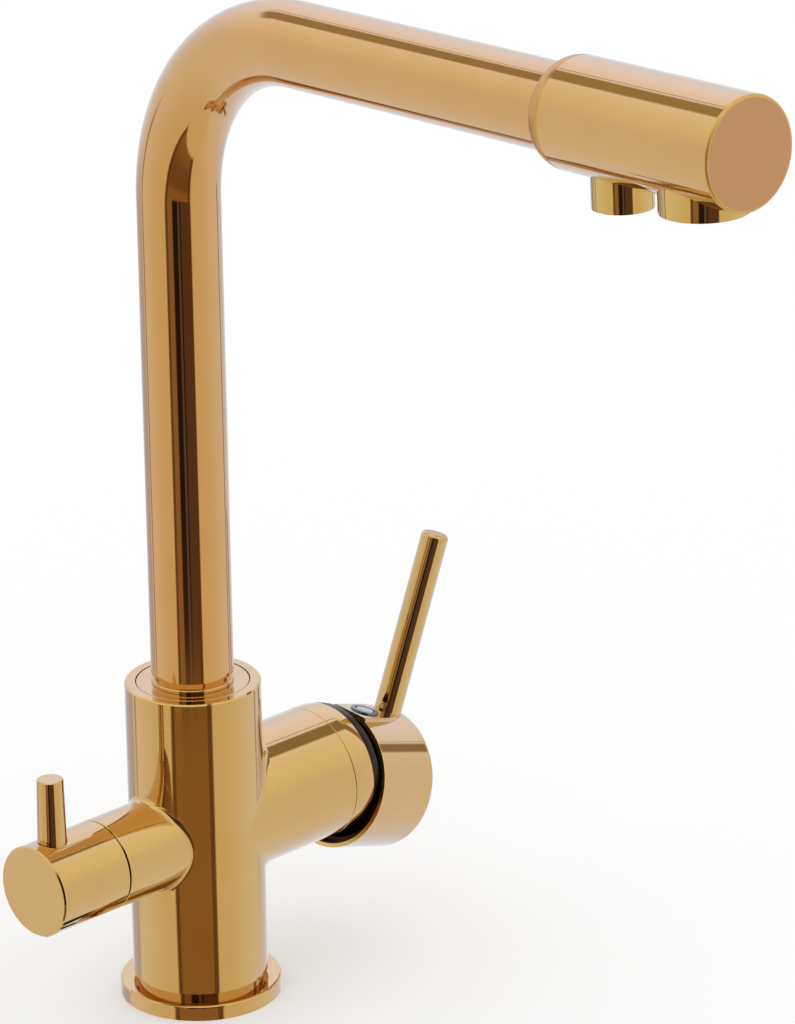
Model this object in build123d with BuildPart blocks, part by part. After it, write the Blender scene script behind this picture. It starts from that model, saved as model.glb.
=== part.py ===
from build123d import *
from math import cos, radians, sin, tan
import os

os.makedirs("parts", exist_ok=True)

# Kitchen mixer tap with a second, filtered water way through the same spout.
# Millimetres and degrees. The origin is the centre of the base on the worktop.
# +Z is up, the user stands on the -Y side, the mixer is on +X and the filter tap on -X.

# Clearances
running_fit = 0.08  # radial, a shaft that turns in its bore
slide_fit = 0.15  # radial, pieces pushed or screwed together once
thread_fit = 0.02  # radial, a small screw or pin in its thread or hole
face_gap = 0.1  # between flat faces that slide on each other
ring_gap = 0.3  # radial, a rubber ring short of the wall it seals
ring_side = 0.15  # on each side of a seal in its groove
small_ring_side = 0.1  # the same for the small seals
seam = 0.4  # the visible line between a knob and the body
sweep_gap = 0.5  # round a piece that swings inside another
cut_over = 1.0  # cuts run this far past the face that they open

# Body
body_r = 23.0
body_top = 113.7
skirt_z = 7.8  # lower edge of the visible cylinder
foot_neck_r = 21.4
body_edge = 0.5
rim_edge = 0.2
mixer_fillet = 4.0
filter_fillet = 2.0
cavity_r = 17.5
web_z = 24.0  # roof of the hollow that takes the hoses

# Flange and what clamps the tap to the worktop
flange_r = 27.5
flange_h = 5.3
flange_edge = 0.8
spigot_r = 19.5
spigot_z = 1.8
gasket_inner = 21.5
gasket_outer = 25.5
gasket_h = 1.5
worktop = 30.0
stud_r = 3.0
stud_circle_r = 13.9
stud_angle = 120.0
stud_depth = 9.0  # in the body
stud_reach = 62.0  # below the worktop's upper face
clamp_r = 25.0
clamp_rubber_h = 2.0
clamp_steel_h = 2.5
nut_width = 10.0
nut_h = 12.0

# Hose ports in the underside of the body
port_r = 4.0
port_depth = 9.0
port_circle_r = 7.2
hose_r = 5.0
water_way_r = 3.2
filter_way_r = 2.2

# Spout bearing at the top of the body
bush_r = 19.2
bush_h = 9.6
stem_r = 13.5
stem_bore_r = 8.6
stem_z = 90.5  # lower end of the spout's stem
socket_z = 88.0
clip_ledge_r = 17.2
clip_r = 15.2
clip_depth = 1.3
clip_h = 1.1
clip_mouth = 5.0
slide_ring_h = 0.8
ring_section_r = 0.95
lower_ring_z = 93.6
upper_ring_z = 97.8
nipple_r = 6.6
nipple_z = 97.0
gallery_z = 80.0
small_ring_r = 0.6
small_ring_drop = 3.0

# Spout
spout_turn = -3.56  # swung this far from straight ahead
spout_rise = 2.87
tube_r = 13.95
tube_wall = 1.4
foot_h = 3.7
bead_h = 1.3
bead_edge = 0.6
waist_r = 13.3
foot_spigot_h = 10.0
bend_r = 64.5
bend_top = 348.5  # height of the spout's centre line at the end of the bend
spout_run = 203.7  # from the bend to the end of the head

# Spout head
head_r = 17.9
head_length = 78.9
head_shoulder = 6.0
head_lip = 0.35
head_edge = 1.0
head_end_wall = 3.0
tube_in_head = 9.0

# Filtered water outlet, the narrower one and nearer to the bend
filter_nozzle_in = 23.7  # from the head's open end
filter_nozzle_r = 9.7
filter_nozzle_depth = 25.9  # below the centre line
filter_nozzle_wall = 1.4
filter_nozzle_root = 11.0
filter_nozzle_seat = 18.0
tube_groove_in = 1.5  # seal groove of the inner tube, from the root
nozzle_seal_h = 1.0
nozzle_lip_h = 0.7
nozzle_lip = 0.8
nozzle_inset = 0.4
jet_r = 0.9
jet_circle_r = 3.6
jet_count = 6

# Main outlet with its aerator
main_nozzle_s = 20.0
main_nozzle_r = 13.9
main_nozzle_depth = 20.8
main_nozzle_wall = 1.8
main_nozzle_root = 9.0
main_nozzle_seat = 12.2
main_nozzle_mouth_r = 10.3
aerator_wall = 1.6
cage_wall = 1.3
cage_roof = 1.2
screen_h = 0.8
screen_hole_r = 0.75
screen_pitch = 2.3

# Filtered water tube inside the spout
inner_tube_r = 4.0
inner_tube_wall = 1.0
inner_tube_z = 84.0
inner_elbow_r = 12.0
inner_tube_end = 17.0

# Mixer housing and cartridge, measured along +X from the body's axis
mixer_z = 62.8
mixer_r = 22.9
mixer_seam_x = 53.7
seat_x = 20.3
cartridge_r = 17.5
casing_wall = 1.9
shoulder_x = 44.0
casing_shoulder_h = 2.5
neck_r = 15.0
neck_wall = 2.4
neck_end_x = 52.0
nut_r = 20.0
nut_bore_r = 17.5
nut_floor_x = 53.0
nut_end_x = 58.0
inlet_drop = 5.0
outlet_rise = 7.0
port_seal_w = 1.4
port_seal_h = 1.0
base_h = 4.1
disc_h = 3.0
fixed_disc_r = 15.0
moving_disc_r = 11.4
mixing_w = 15.0
mixing_h = 12.0
mixing_depth = 1.8
carrier_h = 4.0
carrier_boss_w = 11.2
carrier_boss_x = 41.0

# Dome ring over the cartridge nut
dome_x = 57.8
dome_end_x = 66.0
dome_mouth_r = 18.5
dome_lip_h = 1.5

# Lever, measured from the pivot along the cap's axis
lever_turn = 5.0  # turned this far towards the user
lever_open = 17.3  # lifted this far from closed
lever_open_max = 25.0
pivot_x = 47.0
pivot_pin_r = 1.5
pivot_pin_length = 24.0
stem_side = 8.0
stem_root = 2.5  # how far the square stem reaches behind the pivot
stem_reach = 33.0
finger_r = 2.0
ball_r = 3.2
ball_arm = 8.0
cap_rim = 18.5
cap_end = 44.9
cap_r = 24.3
cap_mouth_r = 22.3
cap_mouth_h = 3.0
cap_inner_r = 20.8
cap_floor = 3.2
cap_round = 2.2
cap_boss_r = 7.8
cap_boss_u = 21.5
land_height = 24.4
land_root = 16.0
land_half = 7.8
land_end_u = 31.4  # centre of the land's half circle
land_round = 0.8
lever_u = 38.0  # where the rod stands
lever_r = 4.8
lever_top = 89.7
lever_edge = 0.5
lever_seat = 23.8
lever_thread_r = 3.0
lever_thread_h = 6.0
lever_pad_r = 5.2
lever_pad_h = 7.0  # wall under the rod that takes its thread
button_u = 26.0
button_r = 4.9
button_h = 1.6
button_sink = 1.0
button_edge = 0.25
button_fit = 0.05
grub_r = 2.5
grub_h = 3.8
grub_key_r = 1.4

# Filter tap, measured along -X from the body's axis
filter_z = 60.0
filter_r = 15.7
filter_seam_x = 44.7
filter_end_x = 74.3
filter_seat_x = 12.5
filter_bore_r = 10.5
chamber_r = 12.3
chamber_x = 17.0
chamber_w = 7.0
counterbore_r = 13.0
counterbore_x = 38.0
headwork_flange_h = 4.0
headwork_neck_r = 8.0
headwork_end_x = 50.0
headwork_wall = 1.6
window_w = 7.0
window_h = 3.2
filter_seal_h = 1.8
filter_disc_h = 2.6
filter_disc_hole_r = 2.6
filter_disc_hole_y = 4.4
spindle_bar_w = 5.0
spindle_bar_h = 3.6
spindle_bar_sink = 1.0
spindle_flange_h = 2.5
spindle_r = 5.8
spindle_ring_x = 33.0
spindle_ring_r = 0.5
headwork_ring_x = 30.0
shaft_r = 4.0
shaft_flat = 3.2
shaft_end_x = 63.5
knob_bore_r = 13.2
knob_solid_x = 59.0
knob_boss_r = 7.6
knob_edge = 0.5
knob_screw_x = 61.2
knob_screw_r = 2.0
knob_screw_h = 5.0
pin_x = 65.2
pin_r = 4.95
pin_top_r = 4.5
pin_seat_r = 5.2
pin_seat = 14.9
pin_top = 37.9
pin_edge = 0.5
pin_thread_r = 2.5
pin_thread_h = 5.0

# Working planes
deck = Plane.XY
mixer_plane = Plane((0, 0, mixer_z), x_dir=(0, 1, 0), z_dir=(1, 0, 0))
lift_axis = Axis((pivot_x, 0, mixer_z), (0, cos(radians(lever_turn)), sin(radians(lever_turn))))
rotor_plane = Plane(mixer_plane.origin, x_dir=lift_axis.direction, z_dir=(1, 0, 0))
lever_out = Vector(1, 0, 0).rotate(lift_axis, lever_open)
lever_plane = Plane(lift_axis.position, x_dir=lift_axis.direction, z_dir=lever_out)
filter_plane = Plane((0, 0, filter_z), x_dir=(0, -1, 0), z_dir=(-1, 0, 0))
ahead = Vector(0, -1, 0).rotate(Axis.Z, spout_turn)
side_plane = Plane((0, 0, 0), x_dir=ahead, z_dir=ahead.cross(Vector(0, 0, 1)))

rise_cos = cos(radians(spout_rise))
rise_sin = sin(radians(spout_rise))
bend_z = bend_top - bend_r * rise_cos
run_start = (bend_r * (1 - rise_sin), bend_top)


def on_run(distance, depth=0.0):
    """A point of the side plane, so far back from the head's end and below the centre line."""
    along = spout_run - distance
    x = run_start[0] + along * rise_cos + depth * rise_sin
    y = run_start[1] + along * rise_sin - depth * rise_cos
    return (x, y)


def world(point):
    """A point of the side plane in the tap's own frame."""
    return side_plane.from_local_coords((point[0], point[1], 0))


# X runs back along the spout from the middle of the head's end, Y is the depth below it
head_side = Plane(
    world(on_run(0)), x_dir=world(on_run(1)) - world(on_run(0)), z_dir=side_plane.z_dir
)
head_plane = Plane(head_side.origin, x_dir=head_side.z_dir, z_dir=head_side.x_dir)


def nozzle_plane(distance):
    """Looks down an outlet's axis from the spout's centre line."""
    return Plane(world(on_run(distance)), x_dir=head_side.x_dir, z_dir=head_side.y_dir)


def upright(plane, along, height):
    """Looks along the Y of a plane, so far out on its axis and so high above it."""
    origin = plane.from_local_coords((0, height, along))
    return Plane(origin, x_dir=plane.x_dir, z_dir=plane.y_dir)


def ring(plane, outer, inner=0.0):
    """A flat disc, or a ring where it has an inner radius."""
    with BuildSketch(plane) as face:
        Circle(outer)
        if inner:
            Circle(inner, mode=Mode.SUBTRACT)
    return face.sketch


def discs(plane, radius, points):
    """Equal discs at points of a plane."""
    with BuildSketch(plane) as face:
        with Locations(*points):
            Circle(radius)
    return face.sketch


def box_face(plane, width, low, high):
    """A rectangle across the plane's Y, between two values of it."""
    with BuildSketch(plane) as face:
        with Locations((0, (low + high) / 2)):
            Rectangle(width, high - low)
    return face.sketch


def honeycomb(plane, radius, pitch, hole):
    """Round holes on a hexagonal grid, as many as fit inside a radius."""
    count = int(2 * radius / pitch) + 3
    with BuildSketch(plane) as face:
        spots = HexLocations(pitch / 2, count, count).local_locations
        inside = [spot for spot in spots if spot.position.length < radius - 2 * hole]
        with Locations(*inside):
            Circle(hole)
    return face.sketch


def polar(radius, angle):
    """X and Y of a point on a circle."""
    return (radius * cos(radians(angle)), radius * sin(radians(angle)))


filter_nozzle_s = head_length - filter_nozzle_in
filter_nozzle = nozzle_plane(filter_nozzle_s)
main_nozzle = nozzle_plane(main_nozzle_s)
studs = [polar(stud_circle_r, stud_angle), polar(stud_circle_r, -stud_angle)]
hot_port = polar(port_circle_r, 60)
cold_port = polar(port_circle_r, -60)
filter_port = polar(port_circle_r, 180)
inlet_y = hot_port[1]
cartridge_ports = [(inlet_y, -inlet_drop), (-inlet_y, -inlet_drop), (0, outlet_rise)]
bush_z = body_top - bush_h
socket_r = stem_r + running_fit
slide_ring_z = bush_z - face_gap - slide_ring_h
clip_z = slide_ring_z - face_gap - clip_h
clip_floor = stem_r - clip_depth
ring_floor = socket_r - ring_gap - 2 * ring_section_r
ring_groove_h = 2 * (ring_section_r + ring_side)
small_groove_h = 2 * (small_ring_r + small_ring_side)
half_groove = small_ring_r + small_ring_side
inner_bore_r = inner_tube_r + running_fit
small_floor = inner_tube_r + 2 * small_ring_r + small_ring_side
mixed_way_x = (nipple_r + socket_r) / 2
chamber_way_x = chamber_x + filter_way_r
cartridge_bore_r = cartridge_r + slide_fit
base_x = seat_x + base_h
disc_x = base_x + disc_h
moving_x = disc_x + face_gap
carrier_x = moving_x + disc_h
carrier_top_x = carrier_x + carrier_h
rotor_x = carrier_top_x + face_gap
casing_floor_x = shoulder_x - casing_shoulder_h
rotor_top_x = casing_floor_x - face_gap
neck_bore_r = neck_r - neck_wall
rotor_neck_r = neck_bore_r - running_fit
half_stem = stem_side / 2
carrier_now = ball_arm * sin(radians(lever_open))
carrier_far = ball_arm * sin(radians(lever_open_max))
headwork_r = filter_bore_r - slide_fit
headwork_bore_r = headwork_r - headwork_wall
headwork_ring_r = filter_bore_r - ring_gap - ring_section_r
filter_disc_r = headwork_bore_r - slide_fit
filter_disc_x = filter_seat_x + filter_seal_h
filter_moving_x = filter_disc_x + filter_disc_h + face_gap
spindle_bar_x = filter_moving_x + filter_disc_h
spindle_flange_x = spindle_bar_x + spindle_bar_h
spindle_shaft_x = spindle_flange_x + spindle_flange_h
knob_x = filter_seam_x + seam

# Body with the two housings and the water ways
with BuildPart() as tap_body:
    extrude(ring(deck.offset(skirt_z), body_r), amount=body_top - skirt_z)
    extrude(ring(mixer_plane, mixer_r), amount=mixer_seam_x)
    extrude(ring(filter_plane, filter_r), amount=filter_seam_x)
    joints = tap_body.edges().filter_by(GeomType.BSPLINE)
    fillet(joints.filter_by(lambda edge: edge.center().X > 0), radius=mixer_fillet)
    joints = tap_body.edges().filter_by(GeomType.BSPLINE)
    fillet(joints.filter_by(lambda edge: edge.center().X < 0), radius=filter_fillet)
    chamfer(tap_body.faces().sort_by(Axis.Z)[-1].edges(), length=body_edge)
    chamfer(tap_body.faces().sort_by(Axis.X)[-1].edges(), length=rim_edge)
    chamfer(tap_body.faces().sort_by(Axis.X)[0].edges(), length=rim_edge)
    extrude(ring(deck.offset(flange_h), foot_neck_r), amount=skirt_z - flange_h)
    extrude(ring(deck.offset(spigot_z), spigot_r), amount=flange_h - spigot_z)
    extrude(ring(deck.offset(spigot_z), cavity_r), amount=web_z - spigot_z, mode=Mode.SUBTRACT)
    # Hose ports and stud holes
    web = deck.offset(web_z)
    hose_ports = discs(web, port_r, [hot_port, cold_port, filter_port])
    extrude(hose_ports, amount=port_depth, mode=Mode.SUBTRACT)
    extrude(discs(web, stud_r + slide_fit, studs), amount=stud_depth, mode=Mode.SUBTRACT)
    # Hot and cold up to the cartridge
    rising = discs(web, water_way_r, [hot_port, cold_port])
    extrude(rising, amount=mixer_z - inlet_drop - web_z, mode=Mode.SUBTRACT)
    across = discs(mixer_plane.offset(hot_port[0]), water_way_r, cartridge_ports[:2])
    extrude(across, amount=seat_x - hot_port[0], mode=Mode.SUBTRACT)
    # Mixed water back and up to the spout
    outlet = discs(mixer_plane.offset(mixed_way_x), water_way_r, cartridge_ports[2:])
    extrude(outlet, amount=seat_x - mixed_way_x, mode=Mode.SUBTRACT)
    outlet_z = mixer_z + outlet_rise
    up = discs(deck.offset(outlet_z), water_way_r, [(mixed_way_x, 0)])
    extrude(up, amount=socket_z - outlet_z, mode=Mode.SUBTRACT)
    # Filtered water to its valve and on to the middle of the spout
    filter_up = discs(web, water_way_r, [filter_port])
    extrude(filter_up, amount=filter_z - web_z, mode=Mode.SUBTRACT)
    filter_in = ring(filter_plane.offset(port_circle_r), water_way_r)
    extrude(filter_in, amount=filter_seat_x - port_circle_r, mode=Mode.SUBTRACT)
    filter_out = discs(deck.offset(filter_z), filter_way_r, [(-chamber_way_x, 0)])
    extrude(filter_out, amount=gallery_z - filter_z, mode=Mode.SUBTRACT)
    gallery = ring(Plane((0, 0, gallery_z), z_dir=(-1, 0, 0)), filter_way_r)
    extrude(gallery, amount=chamber_way_x, mode=Mode.SUBTRACT)
    # Cartridge bore
    cartridge_bore = ring(mixer_plane.offset(seat_x), cartridge_bore_r)
    extrude(cartridge_bore, amount=mixer_seam_x - seat_x, mode=Mode.SUBTRACT)
    nut_thread = ring(mixer_plane.offset(shoulder_x), nut_r + slide_fit)
    extrude(nut_thread, amount=mixer_seam_x - shoulder_x, mode=Mode.SUBTRACT)
    # Filter valve bore
    valve_bore = ring(filter_plane.offset(filter_seat_x), filter_bore_r)
    extrude(valve_bore, amount=filter_seam_x - filter_seat_x, mode=Mode.SUBTRACT)
    chamber = ring(filter_plane.offset(chamber_x), chamber_r)
    extrude(chamber, amount=chamber_w, mode=Mode.SUBTRACT)
    counterbore = ring(filter_plane.offset(counterbore_x), counterbore_r)
    extrude(counterbore, amount=filter_seam_x - counterbore_x, mode=Mode.SUBTRACT)
    # Spout socket with the nipple for the inner tube
    socket = ring(deck.offset(socket_z), socket_r)
    extrude(socket, amount=body_top - socket_z, mode=Mode.SUBTRACT)
    ledge_z = clip_z - sweep_gap
    ledge = ring(deck.offset(ledge_z), clip_ledge_r)
    extrude(ledge, amount=body_top - ledge_z, mode=Mode.SUBTRACT)
    bush_bore = ring(deck.offset(bush_z), bush_r + slide_fit)
    extrude(bush_bore, amount=bush_h, mode=Mode.SUBTRACT)
    extrude(ring(deck.offset(socket_z), nipple_r), amount=nipple_z - socket_z)
    inner_bore = ring(deck.offset(gallery_z), inner_bore_r)
    extrude(inner_bore, amount=nipple_z - gallery_z, mode=Mode.SUBTRACT)
    small_groove = ring(deck.offset(nipple_z - small_ring_drop), small_floor)
    extrude(small_groove, amount=small_groove_h, mode=Mode.SUBTRACT)
tap_body.part.label = "tap_body"
export_step(tap_body.part, "parts/tap_body.step")

# Flange under the body
with BuildPart() as base_flange:
    extrude(ring(deck, flange_r), amount=flange_h)
    chamfer(base_flange.faces().sort_by(Axis.Z)[-1].edges(), length=flange_edge)
    extrude(ring(deck, spigot_r + slide_fit), amount=flange_h, mode=Mode.SUBTRACT)
    recess = ring(deck, gasket_outer, gasket_inner)
    extrude(recess, amount=gasket_h, mode=Mode.SUBTRACT)
base_flange.part.label = "base_flange"
export_step(base_flange.part, "parts/base_flange.step")

# Rubber ring in the flange's underside
with BuildPart() as base_gasket:
    extrude(ring(deck, gasket_outer, gasket_inner), amount=gasket_h)
base_gasket.part.label = "base_gasket"
export_step(base_gasket.part, "parts/base_gasket.step")

# Two threaded rods that pull the tap down
with BuildPart() as fixing_studs:
    stud_h = stud_reach + web_z + stud_depth
    extrude(discs(deck.offset(-stud_reach), stud_r, studs), amount=stud_h)
    chamfer(fixing_studs.faces().filter_by(Axis.Z).edges(), length=stud_r / 5)
fixing_studs.part.label = "fixing_studs"
export_step(fixing_studs.part, "parts/fixing_studs.step")


def horseshoe(plane):
    """The clamp's outline, open on the mixer's side so that it slides past the hoses."""
    room = hose_r + sweep_gap
    with BuildSketch(plane) as face:
        Circle(clamp_r)
        with BuildSketch(mode=Mode.PRIVATE) as hoses:
            with Locations(hot_port, cold_port, filter_port):
                Circle(room)
            with Locations((clamp_r + room, hot_port[1]), (clamp_r + room, cold_port[1])):
                Circle(room)
            make_hull()
        add(hoses.sketch, mode=Mode.SUBTRACT)
        with Locations(*studs):
            Circle(stud_r + slide_fit, mode=Mode.SUBTRACT)
    return face.sketch


# Clamp under the worktop: rubber, steel and two long nuts
with BuildPart() as clamp_gasket:
    extrude(horseshoe(deck.offset(-worktop - clamp_rubber_h)), amount=clamp_rubber_h)
clamp_gasket.part.label = "clamp_gasket"
export_step(clamp_gasket.part, "parts/clamp_gasket.step")

clamp_z = -worktop - clamp_rubber_h - clamp_steel_h
with BuildPart() as clamp_plate:
    extrude(horseshoe(deck.offset(clamp_z)), amount=clamp_steel_h)
clamp_plate.part.label = "clamp_plate"
export_step(clamp_plate.part, "parts/clamp_plate.step")

with BuildPart() as fixing_nuts:
    with BuildSketch(deck.offset(clamp_z - nut_h)) as hexagons:
        with Locations(*studs):
            RegularPolygon(nut_width / 2, 6, major_radius=False)
            Circle(stud_r + slide_fit, mode=Mode.SUBTRACT)
    extrude(hexagons.sketch, amount=nut_h)
fixing_nuts.part.label = "fixing_nuts"
export_step(fixing_nuts.part, "parts/fixing_nuts.step")

# Bearing ring that closes the top of the body
with BuildPart() as spout_bush:
    extrude(ring(deck.offset(bush_z), bush_r, socket_r), amount=bush_h)
    chamfer(spout_bush.faces().sort_by(Axis.Z)[-1].edges(), length=rim_edge)
spout_bush.part.label = "spout_bush"
export_step(spout_bush.part, "parts/spout_bush.step")

# Plastic ring between the clip and the bush
with BuildPart() as slide_ring:
    slide_face = ring(deck.offset(slide_ring_z), clip_ledge_r - ring_gap, stem_r + ring_gap)
    extrude(slide_face, amount=slide_ring_h)
slide_ring.part.label = "slide_ring"
export_step(slide_ring.part, "parts/slide_ring.step")

# Seal of the inner tube in the nipple
with BuildPart() as filter_tube_seal:
    with Locations((0, 0, nipple_z - small_ring_drop + half_groove)):
        Torus(small_floor - small_ring_r, small_ring_r)
filter_tube_seal.part.label = "filter_tube_seal"
export_step(filter_tube_seal.part, "parts/filter_tube_seal.step")

# Foot of the spout: stem in the body, bead and ring above it, spigot in the tube
bead_z = body_top + face_gap
foot_z = body_top + foot_h
with BuildPart() as spout_foot:
    extrude(ring(deck.offset(bead_z), tube_r), amount=bead_h)
    bead_top = spout_foot.faces().sort_by(Axis.Z)[-1]
    fillet(bead_top.edges(), radius=bead_edge)
    lower = ring(deck.offset(bead_z + bead_h), waist_r)
    loft([lower, ring(deck.offset(foot_z), tube_r)])
    extrude(ring(deck.offset(stem_z), stem_r), amount=bead_z - stem_z)
    foot_spigot_r = tube_r - tube_wall - slide_fit
    extrude(ring(deck.offset(foot_z), foot_spigot_r), amount=foot_spigot_h)
    bore_h = foot_z + foot_spigot_h - stem_z
    extrude(ring(deck.offset(stem_z), stem_bore_r), amount=bore_h, mode=Mode.SUBTRACT)
    for height in (lower_ring_z, upper_ring_z):
        groove = ring(deck.offset(height - ring_groove_h / 2), stem_r, ring_floor)
        extrude(groove, amount=ring_groove_h, mode=Mode.SUBTRACT)
    clip_groove = ring(deck.offset(clip_z), stem_r, clip_floor)
    extrude(clip_groove, amount=clip_h, mode=Mode.SUBTRACT)
spout_foot.part.label = "spout_foot"
export_step(spout_foot.part, "parts/spout_foot.step")

# Two seals on the stem
with BuildPart() as spout_seals:
    with Locations((0, 0, lower_ring_z), (0, 0, upper_ring_z)):
        Torus(ring_floor + ring_section_r, ring_section_r)
spout_seals.part.label = "spout_seals"
export_step(spout_seals.part, "parts/spout_seals.step")

# Spring clip that holds the spout down
with BuildPart() as retaining_clip:
    extrude(ring(deck.offset(clip_z), clip_r, clip_floor + running_fit), amount=clip_h)
    clip_gap = box_face(deck.offset(clip_z), clip_mouth, 0, clip_r)
    extrude(clip_gap, amount=clip_h, mode=Mode.SUBTRACT)
retaining_clip.part.label = "retaining_clip"
export_step(retaining_clip.part, "parts/retaining_clip.step")

# Bent spout tube
with BuildLine(side_plane) as spout_line:
    Line((0, foot_z), (0, bend_z))
    CenterArc((bend_r, bend_z), bend_r, 180, spout_rise - 90)
    Line(run_start, on_run(head_length - tube_in_head))
with BuildPart() as spout_tube:
    sweep(ring(deck.offset(foot_z), tube_r, tube_r - tube_wall), path=spout_line.line)
spout_tube.part.label = "spout_tube"
export_step(spout_tube.part, "parts/spout_tube.step")

# Inner tube for the filtered water
with BuildLine(side_plane) as inner_line:
    Line((0, inner_tube_z), (0, bend_z))
    CenterArc((bend_r, bend_z), bend_r, 180, spout_rise - 90)
    Line(run_start, on_run(filter_nozzle_s + inner_elbow_r))
    elbow_centre = on_run(filter_nozzle_s + inner_elbow_r, inner_elbow_r)
    CenterArc(elbow_centre, inner_elbow_r, 90 + spout_rise, -90)
    Line(on_run(filter_nozzle_s, inner_elbow_r), on_run(filter_nozzle_s, inner_tube_end))
with BuildPart() as filtered_tube:
    inner_wall = ring(deck.offset(inner_tube_z), inner_tube_r, inner_tube_r - inner_tube_wall)
    sweep(inner_wall, path=inner_line.line)
filtered_tube.part.label = "filtered_tube"
export_step(filtered_tube.part, "parts/filtered_tube.step")

# Head of the spout with both outlets
head_bore_r = tube_r + slide_fit
head_small_r = head_bore_r + head_lip
shoulder_s = head_length - head_shoulder
tube_groove_depth = filter_nozzle_root + tube_groove_in
filter_nozzle_bore_r = filter_nozzle_r - filter_nozzle_wall
main_nozzle_bore_r = main_nozzle_r - main_nozzle_wall
with BuildPart() as head_sleeve:
    extrude(ring(head_plane, head_r), amount=shoulder_s)
    end_face = head_sleeve.faces().sort_by_distance(head_plane.origin)[0]
    fillet(end_face.edges(), radius=head_edge)
    with BuildSketch(head_side) as shoulder:
        with BuildLine():
            Line((shoulder_s, 0), (shoulder_s, head_r))
            arc_centre = (shoulder_s, head_small_r)
            EllipticalCenterArc(arc_centre, head_shoulder, head_r - head_small_r, arc_size=90)
            Line((head_length, head_small_r), (head_length, 0))
            Line((head_length, 0), (shoulder_s, 0))
        make_face()
    revolve(shoulder.sketch, axis=Axis(head_plane.origin, head_plane.z_dir))
    extrude(ring(main_nozzle, main_nozzle_r), amount=main_nozzle_depth)
    extrude(ring(filter_nozzle, filter_nozzle_r), amount=filter_nozzle_depth)
    hollow = ring(head_plane.offset(head_end_wall), head_bore_r)
    extrude(hollow, amount=head_length - head_end_wall, mode=Mode.SUBTRACT)
    # Outlet seats inside the hollow
    filter_boss = ring(filter_nozzle.offset(filter_nozzle_root), filter_nozzle_r)
    extrude(filter_boss, amount=head_r - filter_nozzle_root)
    main_boss = ring(main_nozzle.offset(main_nozzle_root), main_nozzle_r)
    extrude(main_boss, amount=head_r - main_nozzle_root)
    filter_hole = ring(filter_nozzle.offset(filter_nozzle_root), inner_bore_r)
    extrude(filter_hole, amount=filter_nozzle_depth - filter_nozzle_root, mode=Mode.SUBTRACT)
    filter_bore = ring(filter_nozzle.offset(filter_nozzle_seat), filter_nozzle_bore_r)
    extrude(filter_bore, amount=filter_nozzle_depth - filter_nozzle_seat, mode=Mode.SUBTRACT)
    tube_groove = ring(filter_nozzle.offset(tube_groove_depth), small_floor)
    extrude(tube_groove, amount=small_groove_h, mode=Mode.SUBTRACT)
    extrude(ring(main_nozzle, main_nozzle_mouth_r), amount=main_nozzle_depth, mode=Mode.SUBTRACT)
    main_bore = ring(main_nozzle.offset(main_nozzle_seat), main_nozzle_bore_r)
    extrude(main_bore, amount=main_nozzle_depth - main_nozzle_seat, mode=Mode.SUBTRACT)
head_sleeve.part.label = "head_sleeve"
export_step(head_sleeve.part, "parts/head_sleeve.step")

# Seal of the inner tube in the head
with BuildPart(filter_nozzle.offset(tube_groove_depth + half_groove)) as filter_outlet_seal:
    Torus(small_floor - small_ring_r, small_ring_r)
filter_outlet_seal.part.label = "filter_outlet_seal"
export_step(filter_outlet_seal.part, "parts/filter_outlet_seal.step")

# Main outlet, from the seat downwards
housing_r = main_nozzle_bore_r - slide_fit
housing_bore_r = housing_r - aerator_wall
housing_depth = main_nozzle_seat + nozzle_seal_h
housing_end = main_nozzle_depth - nozzle_inset
with BuildPart() as aerator_gasket:
    gasket_face = ring(main_nozzle.offset(main_nozzle_seat), housing_r, housing_bore_r)
    extrude(gasket_face, amount=nozzle_seal_h)
aerator_gasket.part.label = "aerator_gasket"
export_step(aerator_gasket.part, "parts/aerator_gasket.step")

with BuildPart() as aerator_housing:
    housing_h = housing_end - housing_depth
    extrude(ring(main_nozzle.offset(housing_depth), housing_r), amount=housing_h)
    lip_r = housing_bore_r - nozzle_lip
    housing_hole = ring(main_nozzle.offset(housing_depth), lip_r)
    extrude(housing_hole, amount=housing_h, mode=Mode.SUBTRACT)
    housing_bore = ring(main_nozzle.offset(housing_depth), housing_bore_r)
    extrude(housing_bore, amount=housing_h - nozzle_lip_h, mode=Mode.SUBTRACT)
aerator_housing.part.label = "aerator_housing"
export_step(aerator_housing.part, "parts/aerator_housing.step")

screen_depth = housing_end - nozzle_lip_h - screen_h
cage_r = housing_bore_r - slide_fit
with BuildPart() as aerator_screen:
    extrude(ring(main_nozzle.offset(screen_depth), cage_r), amount=screen_h)
    mesh = honeycomb(main_nozzle.offset(screen_depth), lip_r, screen_pitch, screen_hole_r)
    extrude(mesh, amount=screen_h, mode=Mode.SUBTRACT)
aerator_screen.part.label = "aerator_screen"
export_step(aerator_screen.part, "parts/aerator_screen.step")

with BuildPart() as aerator_cage:
    cage_h = screen_depth - housing_depth
    extrude(ring(main_nozzle.offset(housing_depth), cage_r), amount=cage_h)
    cage_bore = ring(main_nozzle.offset(housing_depth + cage_roof), cage_r - cage_wall)
    extrude(cage_bore, amount=cage_h - cage_roof, mode=Mode.SUBTRACT)
    cage_top = main_nozzle.offset(housing_depth)
    sieve = honeycomb(cage_top, cage_r - cage_wall, 2 * screen_pitch, screen_hole_r)
    extrude(sieve, amount=cage_roof, mode=Mode.SUBTRACT)
aerator_cage.part.label = "aerator_cage"
export_step(aerator_cage.part, "parts/aerator_cage.step")

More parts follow.
